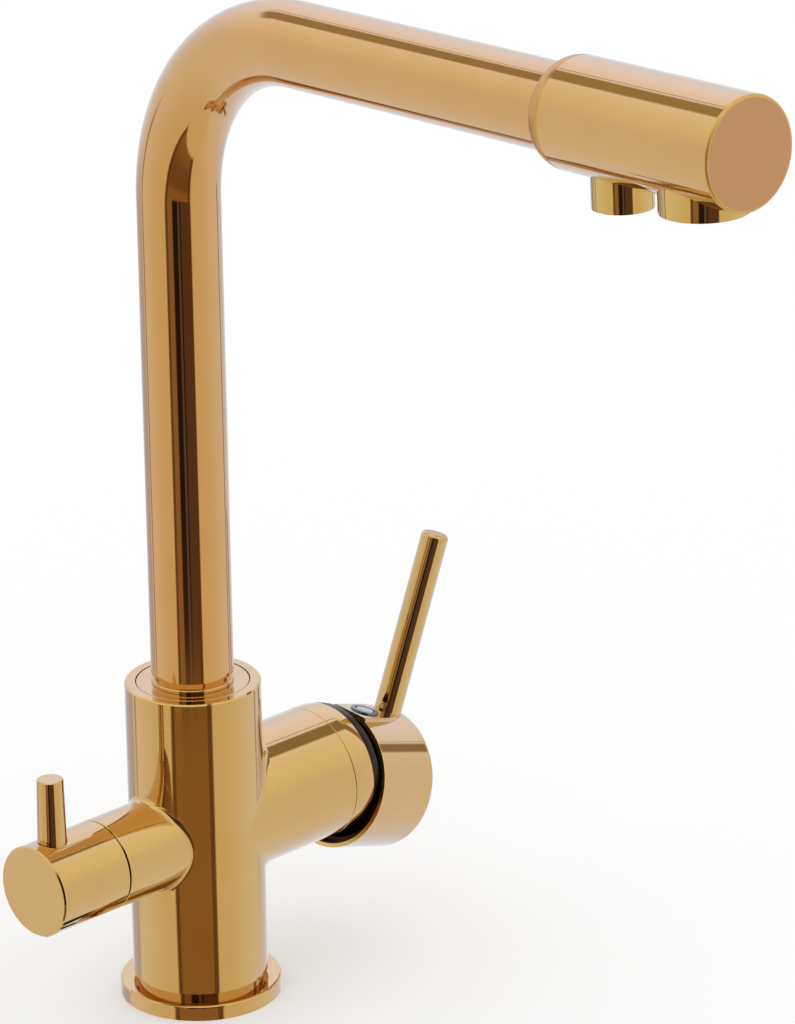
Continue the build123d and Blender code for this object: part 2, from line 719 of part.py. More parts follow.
# Filtered water outlet, from the seat downwards
nozzle_r = filter_nozzle_bore_r - slide_fit
nozzle_bore_r = nozzle_r - aerator_wall
nozzle_depth = filter_nozzle_seat + nozzle_seal_h
nozzle_end = filter_nozzle_depth - nozzle_inset
with BuildPart() as nozzle_seal:
    seal_face = ring(filter_nozzle.offset(filter_nozzle_seat), nozzle_r, nozzle_bore_r)
    extrude(seal_face, amount=nozzle_seal_h)
nozzle_seal.part.label = "nozzle_seal"
export_step(nozzle_seal.part, "parts/nozzle_seal.step")

with BuildPart() as nozzle_ring:
    nozzle_h = nozzle_end - nozzle_depth
    extrude(ring(filter_nozzle.offset(nozzle_depth), nozzle_r), amount=nozzle_h)
    nozzle_lip_r = nozzle_bore_r - nozzle_lip
    nozzle_hole = ring(filter_nozzle.offset(nozzle_depth), nozzle_lip_r)
    extrude(nozzle_hole, amount=nozzle_h, mode=Mode.SUBTRACT)
    nozzle_bore = ring(filter_nozzle.offset(nozzle_depth), nozzle_bore_r)
    extrude(nozzle_bore, amount=nozzle_h - nozzle_lip_h, mode=Mode.SUBTRACT)
nozzle_ring.part.label = "nozzle_ring"
export_step(nozzle_ring.part, "parts/nozzle_ring.step")

with BuildPart() as nozzle_insert:
    insert_h = nozzle_h - nozzle_lip_h
    extrude(ring(filter_nozzle.offset(nozzle_depth), nozzle_bore_r - slide_fit), amount=insert_h)
    jets = [polar(jet_circle_r, index * 360 / jet_count) for index in range(jet_count)]
    jet_holes = discs(filter_nozzle.offset(nozzle_depth), jet_r, jets + [(0, 0)])
    extrude(jet_holes, amount=insert_h, mode=Mode.SUBTRACT)
nozzle_insert.part.label = "nozzle_insert"
export_step(nozzle_insert.part, "parts/nozzle_insert.step")

# Cartridge, from its seat outwards
with BuildPart() as cartridge_base:
    extrude(ring(mixer_plane.offset(seat_x), cartridge_r), amount=base_h)
    base_holes = discs(mixer_plane.offset(seat_x), water_way_r, cartridge_ports)
    extrude(base_holes, amount=base_h, mode=Mode.SUBTRACT)
    seal_pockets = discs(mixer_plane.offset(seat_x), water_way_r + port_seal_w, cartridge_ports)
    extrude(seal_pockets, amount=port_seal_h, mode=Mode.SUBTRACT)
cartridge_base.part.label = "cartridge_base"
export_step(cartridge_base.part, "parts/cartridge_base.step")

with BuildPart() as cartridge_seals:
    seal_faces = discs(mixer_plane.offset(seat_x), water_way_r + port_seal_w, cartridge_ports)
    extrude(seal_faces, amount=port_seal_h)
    seal_holes = discs(mixer_plane.offset(seat_x), water_way_r, cartridge_ports)
    extrude(seal_holes, amount=port_seal_h, mode=Mode.SUBTRACT)
cartridge_seals.part.label = "cartridge_seals"
export_step(cartridge_seals.part, "parts/cartridge_seals.step")

with BuildPart() as fixed_disc:
    extrude(ring(mixer_plane.offset(base_x), fixed_disc_r), amount=disc_h)
    disc_holes = discs(mixer_plane.offset(base_x), water_way_r, cartridge_ports)
    extrude(disc_holes, amount=disc_h, mode=Mode.SUBTRACT)
fixed_disc.part.label = "fixed_disc"
export_step(fixed_disc.part, "parts/fixed_disc.step")

with BuildPart() as cartridge_casing:
    extrude(ring(mixer_plane.offset(base_x), cartridge_r), amount=shoulder_x - base_x)
    extrude(ring(mixer_plane.offset(shoulder_x), neck_r), amount=neck_end_x - shoulder_x)
    casing_bore = ring(mixer_plane.offset(base_x), cartridge_r - casing_wall)
    extrude(casing_bore, amount=casing_floor_x - base_x, mode=Mode.SUBTRACT)
    neck_bore = ring(mixer_plane.offset(casing_floor_x), neck_bore_r)
    extrude(neck_bore, amount=neck_end_x - casing_floor_x, mode=Mode.SUBTRACT)
cartridge_casing.part.label = "cartridge_casing"
export_step(cartridge_casing.part, "parts/cartridge_casing.step")

with BuildPart() as cartridge_nut:
    nut_face = ring(mixer_plane.offset(shoulder_x), nut_r, neck_r + slide_fit)
    extrude(nut_face, amount=nut_end_x - shoulder_x)
    nut_bore = ring(mixer_plane.offset(nut_floor_x), nut_bore_r)
    extrude(nut_bore, amount=nut_end_x - nut_floor_x, mode=Mode.SUBTRACT)
cartridge_nut.part.label = "cartridge_nut"
export_step(cartridge_nut.part, "parts/cartridge_nut.step")

# Dome ring, a cylinder that turns into part of a ball
with BuildPart() as dome_ring:
    extrude(ring(mixer_plane.offset(mixer_seam_x), mixer_r), amount=dome_x - mixer_seam_x)
    chamfer(dome_ring.faces().sort_by(Axis.X)[0].edges(), length=rim_edge)
    with Locations((dome_x, 0, mixer_z)):
        Sphere(mixer_r, rotation=(0, 90, 0))
    split(bisect_by=mixer_plane.offset(dome_end_x), keep=Keep.BOTTOM)
    dome_bore = ring(mixer_plane.offset(mixer_seam_x - mixer_r), nut_r + slide_fit)
    extrude(dome_bore, amount=dome_end_x - dome_lip_h - mixer_seam_x + mixer_r, mode=Mode.SUBTRACT)
    mouth = ring(mixer_plane.offset(mixer_seam_x), dome_mouth_r)
    extrude(mouth, amount=dome_end_x - mixer_seam_x, mode=Mode.SUBTRACT)
    behind = ring(mixer_plane.offset(mixer_seam_x), mixer_r)
    extrude(behind, amount=-mixer_r, mode=Mode.SUBTRACT)
dome_ring.part.label = "dome_ring"
export_step(dome_ring.part, "parts/dome_ring.step")

# Turning part of the cartridge that carries the lever's pivot
with BuildPart() as stem_guide:
    guide_r = cartridge_r - casing_wall - ring_gap
    extrude(ring(rotor_plane.offset(rotor_x), guide_r), amount=rotor_top_x - rotor_x)
    extrude(ring(rotor_plane.offset(rotor_top_x), rotor_neck_r), amount=neck_end_x - rotor_top_x)
    half_boss = carrier_boss_w / 2
    boss_room = box_face(
        rotor_plane.offset(rotor_x),
        carrier_boss_w + 2 * face_gap,
        -half_boss - sweep_gap,
        carrier_far + half_boss + sweep_gap,
    )
    extrude(boss_room, amount=carrier_boss_x + sweep_gap - rotor_x, mode=Mode.SUBTRACT)
    # The stem leans down to one side of the slot while its ball end swings up to the other
    lean = radians(lever_open_max)
    stem_low = (neck_end_x - pivot_x) * tan(lean) + half_stem / cos(lean)
    stem_slot = box_face(
        rotor_plane.offset(rotor_x),
        stem_side + 2 * face_gap,
        -stem_low - sweep_gap,
        carrier_far + ball_r + sweep_gap,
    )
    extrude(stem_slot, amount=neck_end_x - rotor_x, mode=Mode.SUBTRACT)
    pin_line = Plane(rotor_plane.offset(pivot_x).origin, z_dir=rotor_plane.x_dir)
    pin_bore = ring(pin_line, pivot_pin_r + thread_fit)
    extrude(pin_bore, amount=pivot_pin_length / 2, both=True, mode=Mode.SUBTRACT)
stem_guide.part.label = "stem_guide"
export_step(stem_guide.part, "parts/stem_guide.step")

with BuildPart() as pivot_pin:
    extrude(ring(pin_line, pivot_pin_r), amount=pivot_pin_length / 2, both=True)
pivot_pin.part.label = "pivot_pin"
export_step(pivot_pin.part, "parts/pivot_pin.step")

# Disc that mixes, and the carrier that the lever's ball end pushes
carrier_plane = Plane(
    rotor_plane.from_local_coords((0, carrier_now, 0)),
    x_dir=rotor_plane.x_dir,
    z_dir=rotor_plane.z_dir,
)
with BuildPart() as moving_disc:
    extrude(ring(carrier_plane.offset(moving_x), moving_disc_r), amount=disc_h)
    mixing = box_face(carrier_plane.offset(moving_x), mixing_w, -mixing_h / 2, mixing_h / 2)
    extrude(mixing, amount=mixing_depth, mode=Mode.SUBTRACT)
moving_disc.part.label = "moving_disc"
export_step(moving_disc.part, "parts/moving_disc.step")

with BuildPart() as disc_carrier:
    extrude(ring(carrier_plane.offset(carrier_x), moving_disc_r), amount=carrier_h)
    boss = box_face(carrier_plane.offset(carrier_top_x), carrier_boss_w, -half_boss, half_boss)
    extrude(boss, amount=carrier_boss_x - carrier_top_x)
    ball_room = ring(carrier_plane.offset(pivot_x - ball_arm - ball_r - ring_gap), ball_r + ring_gap)
    extrude(ball_room, amount=ball_arm, mode=Mode.SUBTRACT)
disc_carrier.part.label = "disc_carrier"
export_step(disc_carrier.part, "parts/disc_carrier.step")

# Stem that tips in the guide
with BuildPart() as cartridge_stem:
    shank = box_face(lever_plane.offset(-stem_root), stem_side, -half_stem, half_stem)
    extrude(shank, amount=stem_root + stem_reach)
    extrude(ring(lever_plane.offset(-ball_arm), finger_r), amount=ball_arm - stem_root)
    with Locations(lever_plane.offset(-ball_arm)):
        Sphere(ball_r)
    extrude(ring(pin_line, pivot_pin_r + running_fit), amount=stem_side, both=True, mode=Mode.SUBTRACT)
cartridge_stem.part.label = "cartridge_stem"
export_step(cartridge_stem.part, "parts/cartridge_stem.step")

# Cap that the rod stands on
with BuildPart() as handle_cap:
    # Raised land for the button, which ends in a half circle at the rod
    with BuildSketch(upright(lever_plane, land_end_u, land_root)) as land:
        Circle(land_half)
        with Locations((0, (land_end_u - cap_rim) / 2)):
            Rectangle(2 * land_half, land_end_u - cap_rim)
    extrude(land.sketch, amount=land_height - land_root)
    land_top = handle_cap.faces().sort_by(Axis(lever_plane.origin, lever_plane.y_dir))[-1]
    land_edges = land_top.edges().sort_by(Axis(lever_plane.origin, lever_plane.z_dir))
    fillet(land_edges[1:], radius=land_round)
    extrude(ring(lever_plane.offset(cap_rim), cap_r), amount=cap_end - cap_rim)
    end_edge = handle_cap.faces().sort_by(Axis(lever_plane.origin, lever_plane.z_dir))[-1].edges()
    fillet(end_edge, radius=cap_round)
    cap_floor_u = cap_end - cap_floor
    cap_mouth = ring(lever_plane.offset(cap_rim), cap_mouth_r)
    extrude(cap_mouth, amount=cap_mouth_h, mode=Mode.SUBTRACT)
    cap_hollow = ring(lever_plane.offset(cap_rim), cap_inner_r)
    extrude(cap_hollow, amount=cap_floor_u - cap_rim, mode=Mode.SUBTRACT)
    extrude(ring(lever_plane.offset(cap_boss_u), cap_boss_r), amount=cap_floor_u - cap_boss_u)
    pad_plane = upright(lever_plane, lever_u, lever_seat - lever_pad_h)
    extrude(ring(pad_plane, lever_pad_r), amount=lever_pad_h)
    half_socket = half_stem + slide_fit
    socket_face = box_face(lever_plane.offset(cap_boss_u), 2 * half_socket, -half_socket, half_socket)
    extrude(socket_face, amount=stem_reach + sweep_gap - cap_boss_u, mode=Mode.SUBTRACT)
    rod_seat = ring(upright(lever_plane, lever_u, lever_seat), lever_r + button_fit)
    extrude(rod_seat, amount=land_height - lever_seat + cut_over, mode=Mode.SUBTRACT)
    extrude(ring(pad_plane, lever_thread_r + thread_fit), amount=lever_pad_h, mode=Mode.SUBTRACT)
    screw_hole = ring(upright(lever_plane, button_u, half_stem), grub_r + thread_fit)
    extrude(screw_hole, amount=land_height - half_stem, mode=Mode.SUBTRACT)
    seat_plane = upright(lever_plane, button_u, land_height - button_sink)
    button_seat = ring(seat_plane, button_r + button_fit)
    extrude(button_seat, amount=button_sink, mode=Mode.SUBTRACT)
handle_cap.part.label = "handle_cap"
export_step(handle_cap.part, "parts/handle_cap.step")

# Rod of the lever with its turned thread
with BuildPart() as lever_rod:
    rod_foot = ring(upright(lever_plane, lever_u, lever_seat), lever_r)
    extrude(rod_foot, amount=lever_top - lever_seat)
    rod_top = lever_rod.faces().sort_by(Axis(lever_plane.origin, lever_plane.y_dir))[-1]
    chamfer(rod_top.edges(), length=lever_edge)
    thread_z = lever_seat - lever_thread_h
    thread = ring(upright(lever_plane, lever_u, thread_z), lever_thread_r)
    extrude(thread, amount=lever_thread_h)
lever_rod.part.label = "lever_rod"
export_step(lever_rod.part, "parts/lever_rod.step")

# Screw that grips the stem, under the button
with BuildPart() as handle_screw:
    extrude(ring(upright(lever_plane, button_u, half_stem), grub_r), amount=grub_h)
    with BuildSketch(upright(lever_plane, button_u, half_stem + grub_h)) as key:
        RegularPolygon(grub_key_r, 6)
    extrude(key.sketch, amount=-grub_h / 2, mode=Mode.SUBTRACT)
handle_screw.part.label = "handle_screw"
export_step(handle_screw.part, "parts/handle_screw.step")

with BuildPart() as index_button:
    button_plane = upright(lever_plane, button_u, land_height - button_sink)
    extrude(ring(button_plane, button_r), amount=button_h)
    button_face = index_button.faces().sort_by(Axis(lever_plane.origin, lever_plane.y_dir))[-1]
    fillet(button_face.edges(), radius=button_edge)
index_button.part.label = "index_button"
export_step(index_button.part, "parts/index_button.step")

# Filter valve, from its seat outwards
disc_holes_y = [(filter_disc_hole_y, 0), (-filter_disc_hole_y, 0)]
with BuildPart() as filter_seat_seal:
    seal_bore_r = filter_disc_hole_y + filter_disc_hole_r
    seat_seal_face = ring(filter_plane.offset(filter_seat_x), headwork_r, seal_bore_r)
    extrude(seat_seal_face, amount=filter_seal_h)
filter_seat_seal.part.label = "filter_seat_seal"
export_step(filter_seat_seal.part, "parts/filter_seat_seal.step")

with BuildPart() as filter_fixed_disc:
    extrude(ring(filter_plane.offset(filter_disc_x), filter_disc_r), amount=filter_disc_h)
    fixed_holes = discs(filter_plane.offset(filter_disc_x), filter_disc_hole_r, disc_holes_y)
    extrude(fixed_holes, amount=filter_disc_h, mode=Mode.SUBTRACT)
filter_fixed_disc.part.label = "filter_fixed_disc"
export_step(filter_fixed_disc.part, "parts/filter_fixed_disc.step")

with BuildPart() as filter_headwork:
    skirt_h = counterbore_x - filter_disc_x
    extrude(ring(filter_plane.offset(filter_disc_x), headwork_r), amount=skirt_h)
    headwork_flange = ring(filter_plane.offset(counterbore_x), counterbore_r - slide_fit)
    extrude(headwork_flange, amount=headwork_flange_h)
    headwork_neck = ring(filter_plane.offset(counterbore_x), headwork_neck_r)
    extrude(headwork_neck, amount=headwork_end_x - counterbore_x)
    skirt_bore = ring(filter_plane.offset(filter_disc_x), headwork_bore_r)
    skirt_bore_h = spindle_shaft_x + face_gap - filter_disc_x
    extrude(skirt_bore, amount=skirt_bore_h, mode=Mode.SUBTRACT)
    shaft_bore = ring(filter_plane.offset(filter_disc_x), spindle_r + running_fit)
    extrude(shaft_bore, amount=headwork_end_x - filter_disc_x, mode=Mode.SUBTRACT)
    with BuildSketch(filter_plane.offset(spindle_bar_x)) as windows:
        Rectangle(window_w, 2 * (headwork_r + cut_over))
        Rectangle(2 * (headwork_r + cut_over), window_w)
    extrude(windows.sketch, amount=window_h, mode=Mode.SUBTRACT)
    headwork_floor = headwork_ring_r - ring_section_r
    headwork_groove = ring(filter_plane.offset(headwork_ring_x), headwork_r, headwork_floor)
    extrude(headwork_groove, amount=ring_groove_h, mode=Mode.SUBTRACT)
filter_headwork.part.label = "filter_headwork"
export_step(filter_headwork.part, "parts/filter_headwork.step")

with BuildPart(filter_plane.offset(headwork_ring_x + ring_groove_h / 2)) as filter_o_ring:
    Torus(headwork_ring_r, ring_section_r)
filter_o_ring.part.label = "filter_o_ring"
export_step(filter_o_ring.part, "parts/filter_o_ring.step")

with BuildPart() as filter_moving_disc:
    extrude(ring(filter_plane.offset(filter_moving_x), filter_disc_r), amount=filter_disc_h)
    moving_holes = discs(filter_plane.offset(filter_moving_x), filter_disc_hole_r, disc_holes_y)
    extrude(moving_holes, amount=filter_disc_h, mode=Mode.SUBTRACT)
    notch_x = spindle_bar_x - spindle_bar_sink
    notch = box_face(filter_plane.offset(notch_x), spindle_bar_w, -filter_disc_r, filter_disc_r)
    extrude(notch, amount=spindle_bar_sink, mode=Mode.SUBTRACT)
filter_moving_disc.part.label = "filter_moving_disc"
export_step(filter_moving_disc.part, "parts/filter_moving_disc.step")

spindle_floor = spindle_r - 2 * small_ring_r
with BuildPart() as filter_spindle:
    bar_half = filter_disc_r - ring_gap
    bar = box_face(filter_plane.offset(notch_x), spindle_bar_w, -bar_half, bar_half)
    extrude(bar, amount=spindle_bar_h + spindle_bar_sink)
    extrude(ring(filter_plane.offset(spindle_flange_x), filter_disc_r), amount=spindle_flange_h)
    shaft = ring(filter_plane.offset(spindle_flange_x), spindle_r)
    extrude(shaft, amount=headwork_end_x + sweep_gap - spindle_flange_x)
    shaft_end = ring(filter_plane.offset(spindle_flange_x), shaft_r)
    extrude(shaft_end, amount=shaft_end_x - spindle_flange_x)
    with BuildSketch(filter_plane.offset(headwork_end_x + sweep_gap)) as shaft_side:
        with Locations((0, -shaft_flat - shaft_r)):
            Rectangle(2 * shaft_r, 2 * shaft_r)
    extrude(shaft_side.sketch, amount=shaft_end_x - headwork_end_x, mode=Mode.SUBTRACT)
    spindle_groove = ring(filter_plane.offset(spindle_ring_x), spindle_r, spindle_floor)
    extrude(spindle_groove, amount=small_groove_h, mode=Mode.SUBTRACT)
filter_spindle.part.label = "filter_spindle"
export_step(filter_spindle.part, "parts/filter_spindle.step")

with BuildPart(filter_plane.offset(spindle_ring_x + half_groove)) as filter_spindle_seal:
    Torus(spindle_floor + spindle_ring_r, spindle_ring_r)
filter_spindle_seal.part.label = "filter_spindle_seal"
export_step(filter_spindle_seal.part, "parts/filter_spindle_seal.step")

# Knob of the filter tap with its pin on top
with BuildPart() as filter_knob:
    extrude(ring(filter_plane.offset(knob_x), filter_r), amount=filter_end_x - knob_x)
    chamfer(filter_knob.faces().sort_by(Axis.X)[0].edges(), length=knob_edge)
    chamfer(filter_knob.faces().sort_by(Axis.X)[-1].edges(), length=rim_edge)
    knob_bore = ring(filter_plane.offset(knob_x), knob_bore_r)
    extrude(knob_bore, amount=knob_solid_x - knob_x, mode=Mode.SUBTRACT)
    knob_boss_x = headwork_end_x + sweep_gap
    extrude(ring(filter_plane.offset(knob_boss_x), knob_boss_r), amount=knob_solid_x - knob_boss_x)
    shaft_socket = ring(filter_plane.offset(knob_boss_x), shaft_r + slide_fit)
    extrude(shaft_socket, amount=shaft_end_x + sweep_gap - knob_boss_x, mode=Mode.SUBTRACT)
    spot_face = ring(upright(filter_plane, pin_x, pin_seat), pin_seat_r)
    extrude(spot_face, amount=filter_r - pin_seat, mode=Mode.SUBTRACT)
    pin_floor = upright(filter_plane, pin_x, pin_seat - pin_thread_h)
    pin_hole = ring(pin_floor, pin_thread_r + thread_fit)
    extrude(pin_hole, amount=pin_thread_h, mode=Mode.SUBTRACT)
    key_hole = ring(upright(filter_plane, knob_screw_x, -filter_r), knob_screw_r + thread_fit)
    extrude(key_hole, amount=filter_r, mode=Mode.SUBTRACT)
filter_knob.part.label = "filter_knob"
export_step(filter_knob.part, "parts/filter_knob.step")

with BuildPart() as filter_pin:
    with Locations(upright(filter_plane, pin_x, pin_seat)):
        Cone(pin_r, pin_top_r, pin_top - pin_seat, align=(Align.CENTER, Align.CENTER, Align.MIN))
    chamfer(filter_pin.faces().sort_by(Axis.Z)[-1].edges(), length=pin_edge)
    extrude(ring(pin_floor, pin_thread_r), amount=pin_thread_h)
filter_pin.part.label = "filter_pin"
export_step(filter_pin.part, "parts/filter_pin.step")

with BuildPart() as knob_screw:
    screw_end = upright(filter_plane, knob_screw_x, -shaft_flat - knob_screw_h)
    extrude(ring(screw_end, knob_screw_r), amount=knob_screw_h)
    with BuildSketch(screw_end) as screw_key:
        RegularPolygon(knob_screw_r / 2, 6)
    extrude(screw_key.sketch, amount=knob_screw_h / 2, mode=Mode.SUBTRACT)
knob_screw.part.label = "knob_screw"
export_step(knob_screw.part, "parts/knob_screw.step")
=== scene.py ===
"""Looks of the kitchen mixer tap: its polished skins, its finishes, the studio and the camera.

Sizes are millimetres and degrees in the part's own frame: the origin is the centre of the base on
the worktop, +Z is up, the user stands on the -Y side, the mixer is on +X and the filter tap on -X.
"""
from __future__ import annotations

import logging
import math
from dataclasses import dataclass, field, replace
from enum import Enum

import bpy
import numpy as np
from mathutils import Matrix, Vector

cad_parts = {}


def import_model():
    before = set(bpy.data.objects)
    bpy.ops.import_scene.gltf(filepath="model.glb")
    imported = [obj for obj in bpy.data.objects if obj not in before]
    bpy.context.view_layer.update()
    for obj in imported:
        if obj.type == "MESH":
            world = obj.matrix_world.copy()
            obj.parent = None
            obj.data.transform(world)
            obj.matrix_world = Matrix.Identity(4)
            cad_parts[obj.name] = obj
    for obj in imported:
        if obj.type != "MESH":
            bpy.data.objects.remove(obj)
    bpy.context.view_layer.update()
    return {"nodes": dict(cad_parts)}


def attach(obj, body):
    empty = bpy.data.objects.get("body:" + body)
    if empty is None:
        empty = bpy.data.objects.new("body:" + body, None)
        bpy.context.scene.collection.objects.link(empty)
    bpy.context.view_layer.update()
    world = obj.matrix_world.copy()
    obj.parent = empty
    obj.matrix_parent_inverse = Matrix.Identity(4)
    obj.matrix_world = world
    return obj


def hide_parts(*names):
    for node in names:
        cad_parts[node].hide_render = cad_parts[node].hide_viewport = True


log = logging.getLogger("tap")
MM = 0.001
TURN = 2.0 * math.pi
RIGHT_ANGLE = math.pi / 2.0
RIGHT = np.array([1.0, 0.0, 0.0])
UP = np.array([0.0, 0.0, 1.0])
WELD_STEPS = 2000.0  # welded points share a cell of 1/2000 mm
SAME_LENGTH = 1e-6  # lengths in millimetres that differ by less are equal
ROUND, THIN_ROUND = 192, 96  # faces round a piece, and round a thin one
ARC, SMALL_ARC = 9, 5  # points on a rounded edge, and on a small one


def unit(vector: np.ndarray) -> np.ndarray:
    """Scales a vector, or each row of an array of them, to length one."""
    return vector / np.linalg.norm(vector, axis=-1, keepdims=True)


def direction(azimuth: float, elevation: float) -> np.ndarray:
    """Unit vector at an azimuth from +X towards +Y and an elevation, both in degrees."""
    turn, rise = math.radians(azimuth), math.radians(elevation)
    level = math.cos(rise)
    return np.array([level * math.cos(turn), level * math.sin(turn), math.sin(rise)])


@dataclass(frozen=True)
class Place:
    """An axis in the part's frame, with the direction that angles round it start from.

    Attributes:
        origin: Point on the axis, in millimetres.
        axis: Unit vector along it.
        up: Unit vector that angle 0 points along.
    """

    origin: np.ndarray
    axis: np.ndarray
    up: np.ndarray

    @property
    def side(self) -> np.ndarray:
        """Unit vector that an angle of 90 degrees points along."""
        return np.cross(self.axis, self.up)

    def spoke(self, angle: np.ndarray) -> np.ndarray:
        """Unit vectors square to the axis at angles round it."""
        return np.cos(angle)[..., None] * self.up + np.sin(angle)[..., None] * self.side

    def point(self, along: np.ndarray, radius: np.ndarray, angle: np.ndarray) -> np.ndarray:
        """Points at cylinder coordinates round the axis: so far along it and out from it."""
        along, radius, angle = np.broadcast_arrays(along, radius, angle)
        return self.origin + along[..., None] * self.axis + radius[..., None] * self.spoke(angle)

    def branch(self, along: float) -> Place:
        """An axis that leaves this one so far along it, the way that its angle 0 points."""
        return Place(self.origin + along * self.axis, self.up, self.axis)


UPRIGHT = Place(np.zeros(3), UP, RIGHT)


@dataclass(frozen=True)
class Path:
    """A way in one plane, as rows of points with the direction up from it at each.

    Attributes:
        points: Points on the way, in millimetres.
        up: Unit vectors square to the way, in its plane.
        across: Unit vector square to the plane.
    """

    points: np.ndarray
    up: np.ndarray
    across: np.ndarray

    def spokes(self, angles: np.ndarray) -> np.ndarray:
        """Works out unit vectors square to the way, for each point of it and each angle.

        Each is the cosine of its angle times up, plus the sine times across.

        Args:
            angles: Angles from up.

        Returns:
            Array of rows, one for each point of the way, of vectors.
        """
        upward, sideways = np.cos(angles)[:, None], np.sin(angles)[:, None]
        return upward * self.up[:, None, :] + sideways * self.across


@dataclass
class Profile:
    """An outline that is turned round an axis: runs of points with their normals.

    The outline goes from one end of the outside to the other, over the end and back through the
    bore, so its normals are always on its left. Each run keeps its own normals, so that an edge
    between two runs stays crisp.

    Attributes:
        along: Start of the outline along the axis.
        radius: Start of the outline out from the axis.
        runs: One array of rows (along, radius, normal along, normal out) for each run.
    """

    along: float
    radius: float
    runs: list[np.ndarray] = field(default_factory=list)

    def line(self, along: float, radius: float) -> Profile:
        """Adds a straight run to a point.

        Args:
            along: End of the run along the axis.
            radius: End of the run out from the axis.

        Returns:
            The same profile.
        """
        step = np.array([along - self.along, radius - self.radius])
        normal = np.array([-step[1], step[0]]) / np.hypot(*step)
        rows = [(self.along, self.radius, *normal), (along, radius, *normal)]
        self.runs.append(np.array(rows))
        self.along, self.radius = along, radius
        return self

    def arc(
        self, along: float, radius: float, centre: tuple[float, float], count: int = ARC
    ) -> Profile:
        """Adds an arc of a circle or an axis-aligned ellipse to a point.

        Points are the centre plus the two half axes times the cosine and sine of an angle. An arc
        covers a quarter turn or less, from where the outline stands.

        Args:
            along: End of the arc along the axis.
            radius: End of the arc out from the axis.
            centre: Centre of the arc.
            count: Number of points.

        Returns:
            The same profile.
        """
        first = np.array([self.along - centre[0], self.radius - centre[1]])
        last = np.array([along - centre[0], radius - centre[1]])
        half = self._half_axes(first, last)
        start, end = (math.atan2(p[1] / half[1], p[0] / half[0]) for p in (first, last))
        end += TURN * round((start - end) / TURN)
        angle = np.linspace(start, end, count)
        points = np.stack([np.cos(angle), np.sin(angle)], axis=1) * half + centre
        normals = unit(np.stack([np.cos(angle), np.sin(angle)], axis=1) / half)
        step = points[1] - points[0]
        if np.dot(normals[0], [-step[1], step[0]]) < 0.0:
            normals = -normals
        self.runs.append(np.hstack([points, normals]))
        self.along, self.radius = along, radius
        return self

    @staticmethod
    def _half_axes(first: np.ndarray, last: np.ndarray) -> np.ndarray:
        """Half axes of the ellipse through two points round its centre, equal ones for a circle.

        Args:
            first: One point, from the centre.
            last: The other point, from the centre.

        Returns:
            The half axis along the profile's axis and the one out from it.
        """
        if abs(np.hypot(*first) - np.hypot(*last)) < SAME_LENGTH:
            return np.full(2, np.hypot(*first))
        return np.maximum(np.abs(first), np.abs(last))

    def close(self) -> Profile:
        """Adds a straight run back to the start."""
        start = self.runs[0][0]
        return self.line(float(start[0]), float(start[1]))


